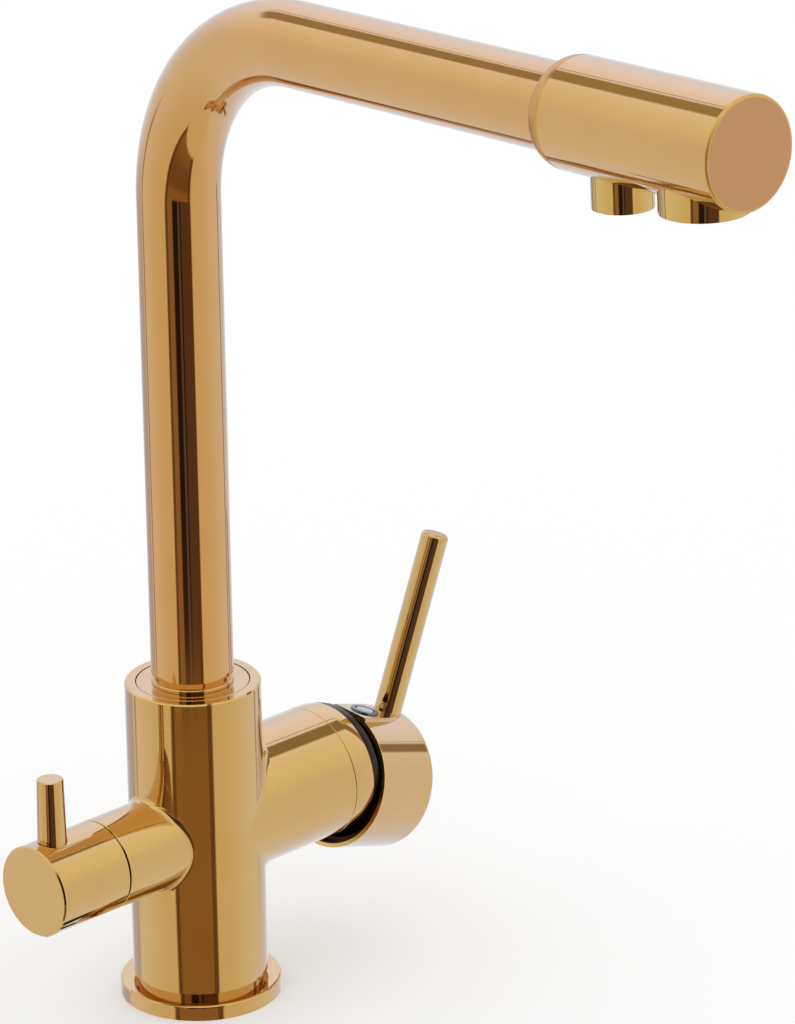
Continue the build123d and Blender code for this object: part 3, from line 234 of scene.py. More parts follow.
class Surface:
    """Faces of one piece, gathered grid by grid, each of four corners with their own normals."""

    def __init__(self) -> None:
        """Starts with no faces."""
        self._corners: list[np.ndarray] = []
        self._normals: list[np.ndarray] = []

    def grid(self, points: np.ndarray, normals: np.ndarray) -> None:
        """Adds faces whose points are a grid over two parameters.

        Args:
            points: Array of rows and columns of points.
            normals: Normals of the same shape, or ones that can be spread to it.
        """
        rows, columns = points.shape[:2]
        normals = np.broadcast_to(normals, points.shape)
        index = np.arange(rows * columns).reshape(rows, columns)
        corners = (index[:-1, :-1], index[1:, :-1], index[1:, 1:], index[:-1, 1:])
        quads = np.stack([corner.ravel() for corner in corners], axis=1)
        self._corners.append(points.reshape(-1, 3)[quads])
        self._normals.append(normals.reshape(-1, 3)[quads])

    def turned(self, place: Place, profile: Profile, angles: np.ndarray) -> None:
        """Adds a profile turned round an axis: each run at each angle.

        Args:
            place: The axis.
            profile: The outline.
            angles: Angles round the axis.
        """
        for run in profile.runs:
            along, radius, normal_along, normal_out = (run[:, k][None, :] for k in range(4))
            spokes = place.spoke(angles)[:, None, :]
            normals = normal_along[..., None] * place.axis + normal_out[..., None] * spokes
            self.grid(place.point(along, radius, angles[:, None]), normals)

    def carried(self, path: Path, radius: float, angles: np.ndarray, facing: float) -> None:
        """Adds a circle carried along a path: each point of it plus the radius times each spoke.

        Args:
            path: The way of the circle's centre.
            radius: Radius of the circle.
            angles: Angles of its points.
            facing: 1 for an outer face, -1 for the wall of a bore.
        """
        spokes = path.spokes(angles)
        self.grid(path.points[:, None, :] + radius * spokes, facing * spokes)

    def build(self, name: str) -> bpy.types.Object:
        """Welds the grids into one mesh whose faces look the way of their normals.

        Corners in the same small cell become one point, and a face that has one of them twice
        becomes a triangle.

        Args:
            name: Name of the new object.

        Returns:
            The object, in metres and at the origin.
        """
        corners, normals = np.concatenate(self._corners), np.concatenate(self._normals)
        across = np.cross(corners[:, 2] - corners[:, 0], corners[:, 3] - corners[:, 1])
        turned = np.sum(across * normals.sum(axis=1), axis=1) < 0.0
        corners[turned], normals[turned] = corners[turned][:, ::-1], normals[turned][:, ::-1]
        cells = np.round(corners.reshape(-1, 3) * WELD_STEPS).astype(np.int64)
        _, first, index = np.unique(cells, axis=0, return_index=True, return_inverse=True)
        index = index.reshape(-1, 4)
        kept = index != np.roll(index, -1, axis=1)
        sizes = kept.sum(axis=1)
        mesh = bpy.data.meshes.new(name)
        mesh.vertices.add(len(first))
        mesh.vertices.foreach_set("co", (corners.reshape(-1, 3)[first] * MM).ravel())
        mesh.loops.add(int(sizes.sum()))
        mesh.loops.foreach_set("vertex_index", index[kept].astype(np.int32))
        mesh.polygons.add(len(sizes))
        mesh.polygons.foreach_set("loop_start", (np.cumsum(sizes) - sizes).astype(np.int32))
        mesh.update(calc_edges=True)
        mesh.shade_smooth()
        mesh.normals_split_custom_set(unit(normals[kept]).tolist())
        made = bpy.data.objects.new(name, mesh)
        bpy.context.scene.collection.objects.link(made)
        return made


def full_turn(count: int = ROUND) -> np.ndarray:
    """Angles once round, with the last on the first."""
    return np.linspace(0.0, TURN, count + 1)


def turned_piece(name: str, place: Place, profile: Profile, count: int = ROUND) -> bpy.types.Object:
    """Makes a piece of one outline turned round an axis.

    Args:
        name: Name of the new object.
        place: The axis.
        profile: The outline.
        count: Number of faces round it.

    Returns:
        The object.
    """
    surface = Surface()
    surface.turned(place, profile, full_turn(count))
    return surface.build(name)


Colour = tuple[float, float, float, float]
Limit = tuple[float, ...]  # two numbers for a soft edge, three for a span with soft edges
WHITE: Colour = (1.0, 1.0, 1.0, 1.0)
MIX_SOCKETS = (6, 7, 2)  # the Mix node's two colours and the mixed one
NOT_ZERO = 1e-4  # keeps a division away from zero


class Value:
    """One number or colour of a shader, with arithmetic that adds the nodes for it."""

    def __init__(self, shader: Shader, socket: bpy.types.NodeSocket) -> None:
        """Keeps the shader that the socket belongs to."""
        self.shader = shader
        self.socket = socket

    def _math(self, operation: str, *inputs: Value | float) -> Value:
        """Adds one Math node."""
        return self.shader.node("ShaderNodeMath", {"operation": operation}, dict(enumerate(inputs)))

    def __add__(self, other: Value | float) -> Value:
        """This plus a number or another value."""
        return self._math("ADD", self, other)

    __radd__ = __add__

    def __sub__(self, other: Value | float) -> Value:
        """This less a number or another value."""
        return self._math("SUBTRACT", self, other)

    def __rsub__(self, other: Value | float) -> Value:
        """A number less this."""
        return self._math("SUBTRACT", other, self)

    def __mul__(self, other: Value | float) -> Value:
        """This times a number or another value."""
        return self._math("MULTIPLY", self, other)

    __rmul__ = __mul__

    def __truediv__(self, other: Value | float) -> Value:
        """This over a number or another value."""
        return self._math("DIVIDE", self, other)

    def __rtruediv__(self, other: Value | float) -> Value:
        """A number over this."""
        return self._math("DIVIDE", other, self)

    def __pow__(self, other: Value | float) -> Value:
        """This to a power."""
        return self._math("POWER", self, other)

    def clipped(self) -> Value:
        """This kept between 0 and 1."""
        return self.shader.node("ShaderNodeClamp", {}, {0: self})

    def step(self, start: float, end: float) -> Value:
        """A smooth step, which falls where the start is the higher of the two.

        Args:
            start: Where it is still 0.
            end: Where it gets to 1.

        Returns:
            The step.
        """
        if start > end:
            return 1.0 - self.step(end, start)
        settings = {"interpolation_type": "SMOOTHSTEP"}
        return self.shader.node("ShaderNodeMapRange", settings, {0: self, 1: start, 2: end})

    def band(self, low: float, high: float, blur: float) -> Value:
        """1 between two numbers and 0 outside them, over soft edges of that half width."""
        return self.step(low - blur, low + blur) * self.step(high + blur, high - blur)

    def within(self, limit: Limit) -> Value:
        """1 where a limit holds: a step for one of two numbers, a band for one of three."""
        return self.step(*limit) if len(limit) == 2 else self.band(*limit)

    def mixed(self, low: Value | Colour, high: Value | Colour) -> Value:
        """A colour mixed from two by this: the first at 0 and the second at 1."""
        first, second, result = MIX_SOCKETS
        inputs = {0: self, first: low, second: high}
        return self.shader.node("ShaderNodeMix", {"data_type": "RGBA"}, inputs, output=result)


class Shader:
    """A node tree, with one method that adds any node and wires it."""

    def __init__(self, tree: bpy.types.NodeTree) -> None:
        """Empties the tree."""
        self.tree = tree
        tree.nodes.clear()

    def node(
        self,
        kind: str,
        settings: dict[str, object],
        inputs: dict[str | int, object],
        output: str | int = 0,
    ) -> Value:
        """Adds a node.

        Args:
            kind: Type of the node.
            settings: Properties of the node, which are set first.
            inputs: What goes into each socket, by its name or number: a value, or a plain number,
                vector or colour.
            output: Name or number of the socket that is handed back.

        Returns:
            The value at that output.
        """
        made = self.tree.nodes.new(kind)
        for name, setting in settings.items():
            setattr(made, name, setting)
        for key, given in inputs.items():
            if isinstance(given, Value):
                self.tree.links.new(given.socket, made.inputs[key])
            else:
                made.inputs[key].default_value = given
        return Value(self, made.outputs[output])

    def vector(self, operation: str, *inputs: object, output: str | int = 0) -> Value:
        """Adds one Vector Math node."""
        settings = {"operation": operation}
        return self.node("ShaderNodeVectorMath", settings, dict(enumerate(inputs)), output)

    def noise(self, point: Value, scale: float, detail: float) -> Value:
        """Adds a noise, whose value is from 0 to 1."""
        inputs = {"Vector": point, "Scale": scale, "Detail": detail}
        return self.node("ShaderNodeTexNoise", {}, inputs)

    def output(self, kind: str, surface: Value) -> None:
        """Wires a surface to the tree's output node."""
        made = self.tree.nodes.new(kind)
        self.tree.links.new(surface.socket, made.inputs["Surface"])


def linear(colour: tuple[int, int, int]) -> Colour:
    """A colour of 0 to 255 on the screen as the light that it stands for, by the screen's curve."""
    share = np.array(colour) / 255.0
    light = np.where(share > 0.04045, ((share + 0.055) / 1.055) ** 2.4, share / 12.92)
    return (*(float(part) for part in light), 1.0)


MASK_BLUR = 0.04  # half width of a patch's soft edge, in millimetres
SKIN = 0.3  # how far a patch goes into the piece from the face that it colours
FROM_AXIS = -1.0  # lowest distance out for a patch that takes in the axis
OUTSIDE = 60.0  # highest distance out for a patch without a limit there
BEYOND = 1.0  # how far a patch goes on past the end of its piece


@dataclass(frozen=True)
class Patch:
    """Part of a piece whose colour differs: what lies between distances along and from an axis.

    Attributes:
        origin: Point on the axis, in millimetres.
        axis: Unit vector along it.
        along: Lowest and highest distance along the axis.
        out: Lowest and highest distance from it.
        colour: Colour of the patch.
        roughness: Its roughness.
        coat: Weight of its clear coat.
    """

    origin: tuple[float, float, float]
    axis: tuple[float, float, float]
    along: tuple[float, float]
    out: tuple[float, float]
    colour: tuple[int, int, int]
    roughness: float
    coat: float = 0.0

    def mask(self, shader: Shader, point: Value) -> Value:
        """Works out where the patch is.

        The offset from the axis's origin times the axis is the distance along it, and the length
        of their cross product the distance from it.

        Args:
            shader: Shader of the piece.
            point: Object coordinates of a point.

        Returns:
            1 on the patch and 0 off it.
        """
        point = shader.vector("MULTIPLY", point, (1.0 / MM,) * 3)
        offset = shader.vector("SUBTRACT", point, self.origin)
        along = shader.vector("DOT_PRODUCT", offset, self.axis, output="Value")
        across = shader.vector("CROSS_PRODUCT", offset, self.axis)
        out = shader.vector("LENGTH", across, output="Value")
        return along.band(*self.along, MASK_BLUR) * out.band(*self.out, MASK_BLUR)


SLOW_SCALE = 45.0  # slow variations of a finish to a metre
SLOW_DETAIL, FINE_DETAIL = 1.0, 3.0  # detail of that variation and of the fine marks
SHADE_EDGE = (0.3, 0.7)  # share of the slow variation where the shade ends and the colour starts
COAT_ROUGHNESS = 0.03


@dataclass(frozen=True)
class Finish:
    """A procedural finish: colour, gloss and fine marks that vary over the surface.

    Attributes:
        name: Name of its material.
        slot: Slot of the record that it belongs to; not used.
        colour: Colour on the screen under plain white light.
        shade: Colour that its slow variation runs to.
        roughness: Middle of its roughness.
        spread: How far the roughness varies.
        relief: Height of its fine marks, in millimetres.
        marks: Number of marks to a millimetre.
        metallic: 1 for metal.
        coat: Weight of the clear coat.
        waves: Height of the slow waves that polishing leaves, in millimetres.
        patches: Parts of the piece with another colour.
    """

    name: str
    slot: str
    colour: tuple[int, int, int]
    shade: tuple[int, int, int]
    roughness: float
    spread: float
    relief: float
    marks: float
    metallic: float = 0.0
    coat: float = 0.0
    waves: float = 0.0
    patches: tuple[Patch, ...] = ()

    def material(self) -> bpy.types.Material:
        """Builds the material.

        Its height is the fine marks plus the slow waves, and each patch is mixed over what comes
        before it.

        Returns:
            The material.
        """
        made = bpy.data.materials.new(self.name)
        made.use_nodes = True
        shader = Shader(made.node_tree)
        point = shader.node("ShaderNodeTexCoord", {}, {}, output="Object")
        slow = shader.noise(point, SLOW_SCALE, SLOW_DETAIL)
        fine = shader.noise(point, self.marks / MM, FINE_DETAIL)
        height = self.relief * fine + self.waves * slow
        bump = {"Strength": 1.0, "Distance": MM, "Height": height}
        colour = slow.step(*SHADE_EDGE).mixed(linear(self.shade), linear(self.colour))
        roughness = self.roughness + self.spread * (slow + fine - 1.0)
        coat = self.coat
        for patch in self.patches:
            mask = patch.mask(shader, point)
            colour = mask.mixed(colour, linear(patch.colour))
            roughness = roughness + mask * (patch.roughness - self.roughness)
            coat = coat - mask * (self.coat - patch.coat)
        inputs = {
            "Base Color": colour,
            "Metallic": self.metallic,
            "Roughness": roughness.clipped(),
            "Normal": shader.node("ShaderNodeBump", {}, bump),
            "Coat Weight": coat,
            "Coat Roughness": COAT_ROUGHNESS,
        }
        surface = shader.node("ShaderNodeBsdfPrincipled", {}, inputs)
        shader.output("ShaderNodeOutputMaterial", surface)
        return made


GOLD = Finish(
    "polished gold", "gold", colour=(213, 173, 109), shade=(211, 170, 105), roughness=0.06,
    spread=0.02, relief=0.0002, marks=1.2, metallic=1.0, coat=1.0, waves=0.004,
)
SPOUT_GOLD = replace(
    GOLD, name="drawn tube gold", colour=(213, 165, 104), shade=(211, 163, 101), waves=0.002
)
LEVER_GOLD = replace(GOLD, name="lever gold", colour=(213, 177, 120), shade=(211, 174, 116))
CHROME = Finish(
    "polished chrome", "chrome", colour=(196, 199, 205), shade=(186, 190, 198),
    roughness=0.08, spread=0.03, relief=0.0004, marks=2.0, metallic=1.0,
)
RAW_BRASS = Finish(
    "raw brass", "raw_brass", colour=(186, 148, 84), shade=(170, 132, 70),
    roughness=0.3, spread=0.06, relief=0.004, marks=3.0, metallic=1.0,
)
ZINC_STEEL = Finish(
    "zinc plated steel", "zinc_steel", colour=(176, 178, 178), shade=(156, 159, 160),
    roughness=0.34, spread=0.08, relief=0.004, marks=2.5, metallic=1.0,
)
STAINLESS = Finish(
    "stainless steel", "stainless", colour=(188, 187, 184), shade=(174, 173, 170),
    roughness=0.24, spread=0.05, relief=0.002, marks=4.0, metallic=1.0,
)
RUBBER = Finish(
    "black rubber", "rubber", colour=(34, 34, 35), shade=(26, 26, 27),
    roughness=0.62, spread=0.08, relief=0.01, marks=2.0,
)
CARTRIDGE_PLASTIC = Finish(
    "cartridge plastic", "cartridge_plastic", colour=(74, 76, 79), shade=(64, 66, 69),
    roughness=0.42, spread=0.06, relief=0.006, marks=2.0,
)
OUTLET_PLASTIC = Finish(
    "outlet plastic", "outlet_plastic", colour=(206, 206, 203), shade=(196, 196, 193),
    roughness=0.4, spread=0.06, relief=0.006, marks=2.0,
)
TUBE_PLASTIC = Finish(
    "tube plastic", "tube_plastic", colour=(226, 226, 222), shade=(216, 216, 211),
    roughness=0.35, spread=0.05, relief=0.005, marks=2.0,
)
CERAMIC = Finish(
    "valve ceramic", "ceramic", colour=(228, 225, 217), shade=(218, 214, 205),
    roughness=0.2, spread=0.04, relief=0.001, marks=3.0,
)


class Workshop:
    """Gives CAD nodes and new pieces their finish, and new pieces their place in the frame."""

    def __init__(self, nodes: dict[str, bpy.types.Object]) -> None:
        """Keeps the frame's CAD nodes."""
        self.nodes = nodes
        self.materials: dict[str, bpy.types.Material] = {}

    def _finish(self, piece: bpy.types.Object, finish: Finish) -> None:
        """Puts a finish in a piece's material slot, making its material the first time."""
        if finish.name not in self.materials:
            self.materials[finish.name] = finish.material()
        piece.data.materials.clear()
        piece.data.materials.append(self.materials[finish.name])

    def dress(self, finish: Finish, *names: str) -> None:
        """Gives CAD nodes a finish."""
        for name in names:
            self._finish(self.nodes[name], finish)
            log.info("%s: %s", name, finish.name)

    def fit(self, piece: bpy.types.Object, body: str, node: str, finish: Finish) -> None:
        """Puts a new piece in the place of a CAD node.

        Args:
            piece: The new piece.
            body: Moving body that it rides on.
            node: CAD node that it stands for.
            finish: Its finish.
        """
        self._finish(piece, finish)
        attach(piece, body)
        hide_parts(node)
        log.info("%s in place of %s: %s", piece.name, node, finish.name)


@dataclass
class Base:
    """The upright body with its flange and what clamps it down.

    Attributes:
        flange_r: Radius of the flange.
        flange_h: Height of the flange.
        flange_bore: Radius of the flange's hole.
        flange_edge: Radius of the flange's rounded upper edge.
        gasket: Inner and outer radius of the gasket's recess.
        gasket_h: Depth of the recess.
        bush_r: Outer radius of the ring in the body's top.
        bush_bore: Radius of the ring's hole.
        bush_z: Underside of the ring.
        top: Upper face of the ring.
        ring_edge: Radius of the ring's rounded edges.
    """

    flange_r: float = 27.5
    flange_h: float = 5.3
    flange_bore: float = 19.65
    flange_edge: float = 0.8
    gasket: tuple[float, float] = (21.5, 25.5)
    gasket_h: float = 1.5
    bush_r: float = 19.1
    bush_bore: float = 13.58
    bush_z: float = 104.1
    top: float = 113.7
    ring_edge: float = 0.4

    def build(self, shop: Workshop) -> None:
        """Builds the flange and the ring, and dresses the rest."""
        shop.fit(self.flange(), "tap", "base_flange", GOLD)
        shop.fit(self.ring(), "tap", "spout_bush", GOLD)
        shop.dress(GOLD, "tap_body")
        shop.dress(RUBBER, "base_gasket", "clamp_gasket", "filter_tube_seal", "cartridge_seals")
        shop.dress(RUBBER, "filter_seat_seal", "filter_o_ring")
        shop.dress(ZINC_STEEL, "fixing_studs", "clamp_plate", "fixing_nuts")
        shop.dress(CARTRIDGE_PLASTIC, "slide_ring", "cartridge_base", "cartridge_casing")
        shop.dress(CERAMIC, "fixed_disc", "filter_fixed_disc")
        shop.dress(RAW_BRASS, "cartridge_nut", "filter_headwork")

    def flange(self) -> bpy.types.Object:
        """Builds the flange: one outline with a rounded upper edge, turned round the body's axis."""
        low, edge = self.flange_h - self.flange_edge, self.flange_r - self.flange_edge
        outline = Profile(0.0, self.flange_r).line(low, self.flange_r)
        outline.arc(self.flange_h, edge, (low, edge)).line(self.flange_h, self.flange_bore)
        inner, outer = self.gasket
        outline.line(0.0, self.flange_bore).line(0.0, inner).line(self.gasket_h, inner)
        outline.line(self.gasket_h, outer).line(0.0, outer).close()
        return turned_piece("flange_with_rounded_edge", UPRIGHT, outline)

    def ring(self) -> bpy.types.Object:
        """Builds the ring that the spout turns in: an outline with two rounded upper edges."""
        edge = self.ring_edge
        low, outer, inner = self.top - edge, self.bush_r - edge, self.bush_bore + edge
        outline = Profile(self.bush_z, self.bush_r).line(low, self.bush_r)
        outline.arc(self.top, outer, (low, outer), SMALL_ARC).line(self.top, inner)
        outline.arc(low, self.bush_bore, (low, inner), SMALL_ARC)
        outline.line(self.bush_z, self.bush_bore).close()
        return turned_piece("swivel_ring", UPRIGHT, outline)


@dataclass
class Spout:
    """The swivel spout: foot, bent tube, head and both outlets.

    Attributes:
        turn: How far it is swung from straight ahead, in degrees.
        rise: Rise of its arm, in degrees.
        tube_r: Outer radius of the tube.
        wall: Wall of the tube.
        foot_z: Lower end of the tube.
        bend_r: Radius of the bend's centre line.
        bend_top: Height of the centre line where the arm starts.
        run: Length from there to the head's end.
        head_length: Length of the head.
        tube_in_head: How far the tube reaches into the head.
        head_r: Radius of the head.
        head_edge: Radius of the rounded edge of the head's flat end.
        rim_h: Length of the pale rim there.
        shoulder: Length of the rounded shoulder at its other end.
        outlets_end: How far from the flat end the outlets' own gold stops.
        bend_points: Number of points on the bend.
    """

    turn: float = -3.56
    rise: float = 2.87
    tube_r: float = 13.95
    wall: float = 1.4
    foot_z: float = 117.4
    bend_r: float = 64.5
    bend_top: float = 348.5
    run: float = 203.7
    head_length: float = 78.9
    tube_in_head: float = 9.0
    head_r: float = 17.9
    head_edge: float = 1.0
    # rim_h: Length of the rim there that is painted pale as a painted highlight.
    rim_h: float = 0.9
    shoulder: float = 6.0
    outlets_end: float = 1.5
    bend_points: int = 97

    def build(self, shop: Workshop) -> None:
        """Builds the tube and dresses the rest."""
        shop.fit(self.tube(), "spout", "spout_tube", SPOUT_GOLD)
        shop.dress(SPOUT_GOLD, "spout_foot")
        shop.dress(self.head_finish(), "head_sleeve")
        shop.dress(GOLD, "aerator_housing", "nozzle_ring")
        shop.dress(RUBBER, "spout_seals", "filter_outlet_seal", "aerator_gasket", "nozzle_seal")
        shop.dress(OUTLET_PLASTIC, "retaining_clip", "aerator_cage", "aerator_screen", "nozzle_insert")
        shop.dress(TUBE_PLASTIC, "filtered_tube")

    @property
    def heading(self) -> np.ndarray:
        """Level unit vector that the spout points along."""
        return direction(self.turn - 90.0, 0.0)

    @property
    def arm(self) -> tuple[np.ndarray, np.ndarray]:
        """Start of the arm's centre line and the unit vector along it."""
        reach = self.bend_r * (1.0 - math.sin(math.radians(self.rise)))
        return self.heading * reach + UP * self.bend_top, direction(self.turn - 90.0, self.rise)

    def path(self) -> Path:
        """Works out the tube's centre line: upright, round the bend and along the arm.

        In the bend a point is the bend's centre plus its radius times the cosine and sine of an
        angle that runs from straight back to square on the arm. The way up from the line is that
        same direction, out of the bend.

        Returns:
            The centre line.
        """
        rise = math.radians(self.rise)
        centre = self.heading * self.bend_r + UP * (self.bend_top - self.bend_r * math.cos(rise))
        angle = np.linspace(math.pi, RIGHT_ANGLE + rise, self.bend_points)[:, None]
        out = np.cos(angle) * self.heading + np.sin(angle) * UP
        foot = np.array([[0.0, 0.0, self.foot_z]])
        start, along = self.arm
        end = (start + along * (self.run - self.head_length + self.tube_in_head))[None]
        points = np.concatenate([foot, centre + self.bend_r * out, end])
        up = np.concatenate([out[:1], out, out[-1:]])
        return Path(points, up, np.cross(self.heading, UP))

    def tube(self) -> bpy.types.Object:
        """Builds the tube: two circles carried along its centre line, and a ring at each end."""
        path, angles, surface = self.path(), full_turn(), Surface()
        bore = self.tube_r - self.wall
        surface.carried(path, self.tube_r, angles, 1.0)
        surface.carried(path, bore, angles, -1.0)
        radii = np.array([self.tube_r, bore])[:, None, None]
        for row, facing in ((0, -UP), (-1, self.arm[1])):
            surface.grid(path.points[row] + radii * path.spokes(angles)[row], facing)
        return surface.build("bent_tube")

    def head_finish(self) -> Finish:
        """The head's gold: a darker brown painted on its flat end as painted shade, a pale painted
        highlight round that, yellow on the outlets.

        Returns:
            The finish, which is softer on the head's shoulder.
        """
        start, way = (tuple(vector) for vector in self.arm)
        back, flat_r, end = self.run - self.head_length, self.head_r - self.head_edge, self.run
        # painted shade: the gold flat end is coloured a darker brown where light leaves it darker
        flat_end = Patch(
            start, way, along=(end - SKIN, end + BEYOND), out=(FROM_AXIS, flat_r),
            colour=(200, 147, 101), roughness=0.13, coat=1.0,
        )
        # painted highlight: the rounded edge round the flat end is coloured pale gold where it catches
        # light
        rim = Patch(
            start, way, along=(end - self.rim_h, end + BEYOND), out=(flat_r, OUTSIDE),
            colour=(228, 187, 119), roughness=0.5,
        )
        front = back + self.shoulder + SKIN
        shoulder = Patch(
            start, way, along=(back - BEYOND, front), out=(FROM_AXIS, OUTSIDE),
            colour=(209, 161, 98), roughness=0.26,
        )
        outlets = Patch(
            start, way, along=(front, end - self.outlets_end), out=(self.head_r + SKIN, OUTSIDE),
            colour=(214, 179, 106), roughness=0.06, coat=1.0,
        )
        return replace(
            SPOUT_GOLD, name="spout head gold", colour=(213, 168, 105), shade=(211, 166, 102),
            patches=(flat_end, rim, shoulder, outlets),
        )


@dataclass
class MixerLever:
    """The mixer on the right: trim ring, cap, rod and button, and the moving half of the cartridge.

    Attributes:
        height: Height of the housing's axis.
        seam_x: Seam between the housing and the trim ring.
        round_x: Where the trim ring starts to be part of a ball.
        end_x: Mouth of the trim ring.
        ring_r: Radius of the housing, the ring and its ball.
        nut_bore: Radius of the hole behind the mouth.
        mouth_r: Radius of the mouth.
        lip_h: Thickness of the mouth's lip.
        edge: Radius of the rounded edges.
        pivot_x: Place of the lever's pivot.
        lever_turn: Turn of the lever towards the user, in degrees.
        lever_open: How far it is lifted, in degrees.
        rim_u: Place of the cap's rim along its axis, from the pivot.
        rod_u: Place of the rod along the cap's axis.
        rod_r: Radius of the rod.
        rod_foot: Foot of the rod above the cap's axis.
        rod_top: Top of the rod.
        rod_edge: Radius of its rounded top edge.
        thread: Radius and length of the thread under it.
        button_u: Place of the button along the cap's axis.
        button_r: Radius of the button.
        button_foot: Underside of the button.
        button_top: Top of its rim.
        button_edge: Radius of the button's rounded edge.
        groove: Radii of the groove in the button's face.
        groove_h: Depth of the groove.
        groove_slope: How far each wall of the groove leans in.
        dish_h: Depth of the flat inside the groove at its edge.
        ball_points: Number of points on the ball's curve.
        cover: How much of the trim ring, from its mouth, the cap covers; that much is painted in the
            cap's shadow.
        cap_mouth_r: Radius of the cap's mouth.
        cap_floor_u: Floor of its hollow along its axis.
    """

    height: float = 62.8
    seam_x: float = 53.7
    round_x: float = 57.8
    end_x: float = 66.0
    ring_r: float = 22.9
    nut_bore: float = 20.15
    mouth_r: float = 18.5
    lip_h: float = 1.5
    edge: float = 0.3
    pivot_x: float = 47.0
    lever_turn: float = 5.0
    lever_open: float = 17.3
    rim_u: float = 18.5
    rod_u: float = 38.0
    rod_r: float = 4.8
    rod_foot: float = 23.8
    rod_top: float = 89.7
    rod_edge: float = 1.3
    thread: tuple[float, float] = (3.0, 6.0)
    button_u: float = 26.0
    button_r: float = 4.9
    button_foot: float = 23.4
    button_top: float = 25.0
    button_edge: float = 0.25
    groove: tuple[float, float] = (3.2, 3.7)
    groove_h: float = 0.35
    groove_slope: float = 0.1
    dish_h: float = 0.1
    ball_points: int = 25
    cover: float = 3.7
    cap_mouth_r: float = 22.3
    cap_floor_u: float = 41.7

    def build(self, shop: Workshop) -> None:
        """Builds the trim ring, the rod and the button, and dresses the rest."""
        shop.fit(self.trim_ring(), "tap", "dome_ring", self.ring_finish())
        shop.fit(self.rod(), "lever", "lever_rod", self.rod_finish())
        shop.fit(self.button(), "lever", "index_button", self.button_finish())
        shop.dress(self.cap_finish(), "handle_cap")
        shop.dress(CARTRIDGE_PLASTIC, "stem_guide", "disc_carrier")
        shop.dress(STAINLESS, "cartridge_stem", "pivot_pin", "handle_screw")
        shop.dress(CERAMIC, "moving_disc")

    @property
    def cap(self) -> Place:
        """The cap's axis from the pivot, with the way that the rod stands as its up."""
        turn = Matrix.Rotation(math.radians(self.lever_turn), 3, "X")
        lift = Matrix.Rotation(math.radians(self.lever_open), 3, "Y")
        axis, up = (np.array(turn @ lift @ Vector(way)) for way in ((1, 0, 0), (0, 0, 1)))
        return Place(np.array([self.pivot_x, 0.0, self.height]), axis, up)

    def trim_ring(self) -> bpy.types.Object:
        """Builds the trim ring: a short cylinder that runs on into a ball, with a hole through it.

        The ball's radius out from the axis is the root of its own radius squared less the
        distance from its centre squared.

        Returns:
            The piece.
        """
        place = Place(UP * self.height, RIGHT, UP)
        start, low, lip = self.seam_x + self.edge, self.ring_r - self.edge, self.end_x - self.lip_h
        end_r = math.sqrt(self.ring_r**2 - (self.end_x - self.round_x) ** 2)
        outline = Profile(self.seam_x, low).arc(start, self.ring_r, (start, low), SMALL_ARC)
        outline.line(self.round_x, self.ring_r)
        outline.arc(self.end_x, end_r, (self.round_x, 0.0), self.ball_points)
        outline.line(self.end_x, self.mouth_r).line(lip, self.mouth_r)
        outline.line(lip, self.nut_bore).line(self.seam_x, self.nut_bore).close()
        return turned_piece("trim_ring", place, outline)

    def rod(self) -> bpy.types.Object:
        """Builds the rod: an outline with its thread, turned round the rod's axis."""
        low, edge = self.rod_top - self.rod_edge, self.rod_r - self.rod_edge
        thread_r, thread_h = self.thread
        foot = self.rod_foot - thread_h
        outline = Profile(foot, 0.0).line(foot, thread_r).line(self.rod_foot, thread_r)
        outline.line(self.rod_foot, self.rod_r).line(low, self.rod_r)
        outline.arc(self.rod_top, edge, (low, edge)).line(self.rod_top, 0.0)
        return turned_piece("handle_rod", self.cap.branch(self.rod_u), outline, THIN_ROUND)

    def button(self) -> bpy.types.Object:
        """Builds the button: a low rim with a shallow groove inside it."""
        inner, outer = self.groove
        top, floor, slope = self.button_top, self.button_top - self.groove_h, self.groove_slope
        low, edge = top - self.button_edge, self.button_r - self.button_edge
        outline = Profile(self.button_foot, 0.0).line(self.button_foot, self.button_r)
        outline.line(low, self.button_r).arc(top, edge, (low, edge), SMALL_ARC)
        outline.line(top, outer).line(floor, outer - slope).line(floor, inner + slope)
        outline.line(top - self.dish_h, inner).line(top, 0.0)
        place = self.cap.branch(self.button_u)
        return turned_piece("hot_and_cold_button", place, outline, THIN_ROUND)

    def ring_finish(self) -> Finish:
        """The trim ring's gold, painted dull and brown as shadow where the cap covers it and as shade
        inside.
        """
        # painted shadow: dark brown on the trim ring where the cap covers it
        under = Patch(
            tuple(UP * self.height), tuple(RIGHT), colour=(54, 37, 20), roughness=0.3,
            along=(self.end_x - self.cover, self.end_x + BEYOND), out=(FROM_AXIS, self.ring_r),
        )
        # painted shade: the same dark brown in the trim ring's bore
        bore = (FROM_AXIS, self.nut_bore + 2.0 * MASK_BLUR)
        inside = replace(under, along=(0.0, self.end_x), out=bore, roughness=0.4)
        return replace(GOLD, name="trim ring gold", patches=(under, inside))

    def cap_finish(self) -> Finish:
        """The cap's gold, painted dull and brown inside as shade, with a softer rim painted pale as a
        highlight.
        """
        bore = self.cap_mouth_r + 2.0 * SKIN
        # painted shade: dark brown inside the cap's hollow
        inside = Patch(
            tuple(self.cap.origin), tuple(self.cap.axis), colour=(60, 41, 22), roughness=0.35,
            along=(0.0, self.cap_floor_u + 2.0 * SKIN), out=(FROM_AXIS, bore),
        )
        # painted highlight: a pale band round the cap's rim
        rim = replace(
            inside, along=(self.rim_u - SKIN, self.rim_u + SKIN), out=(bore, OUTSIDE),
            colour=(236, 202, 138), roughness=0.3,
        )
        return replace(
            LEVER_GOLD, name="lever cap gold", colour=(213, 178, 127), shade=(211, 175, 123),
            patches=(inside, rim),
        )

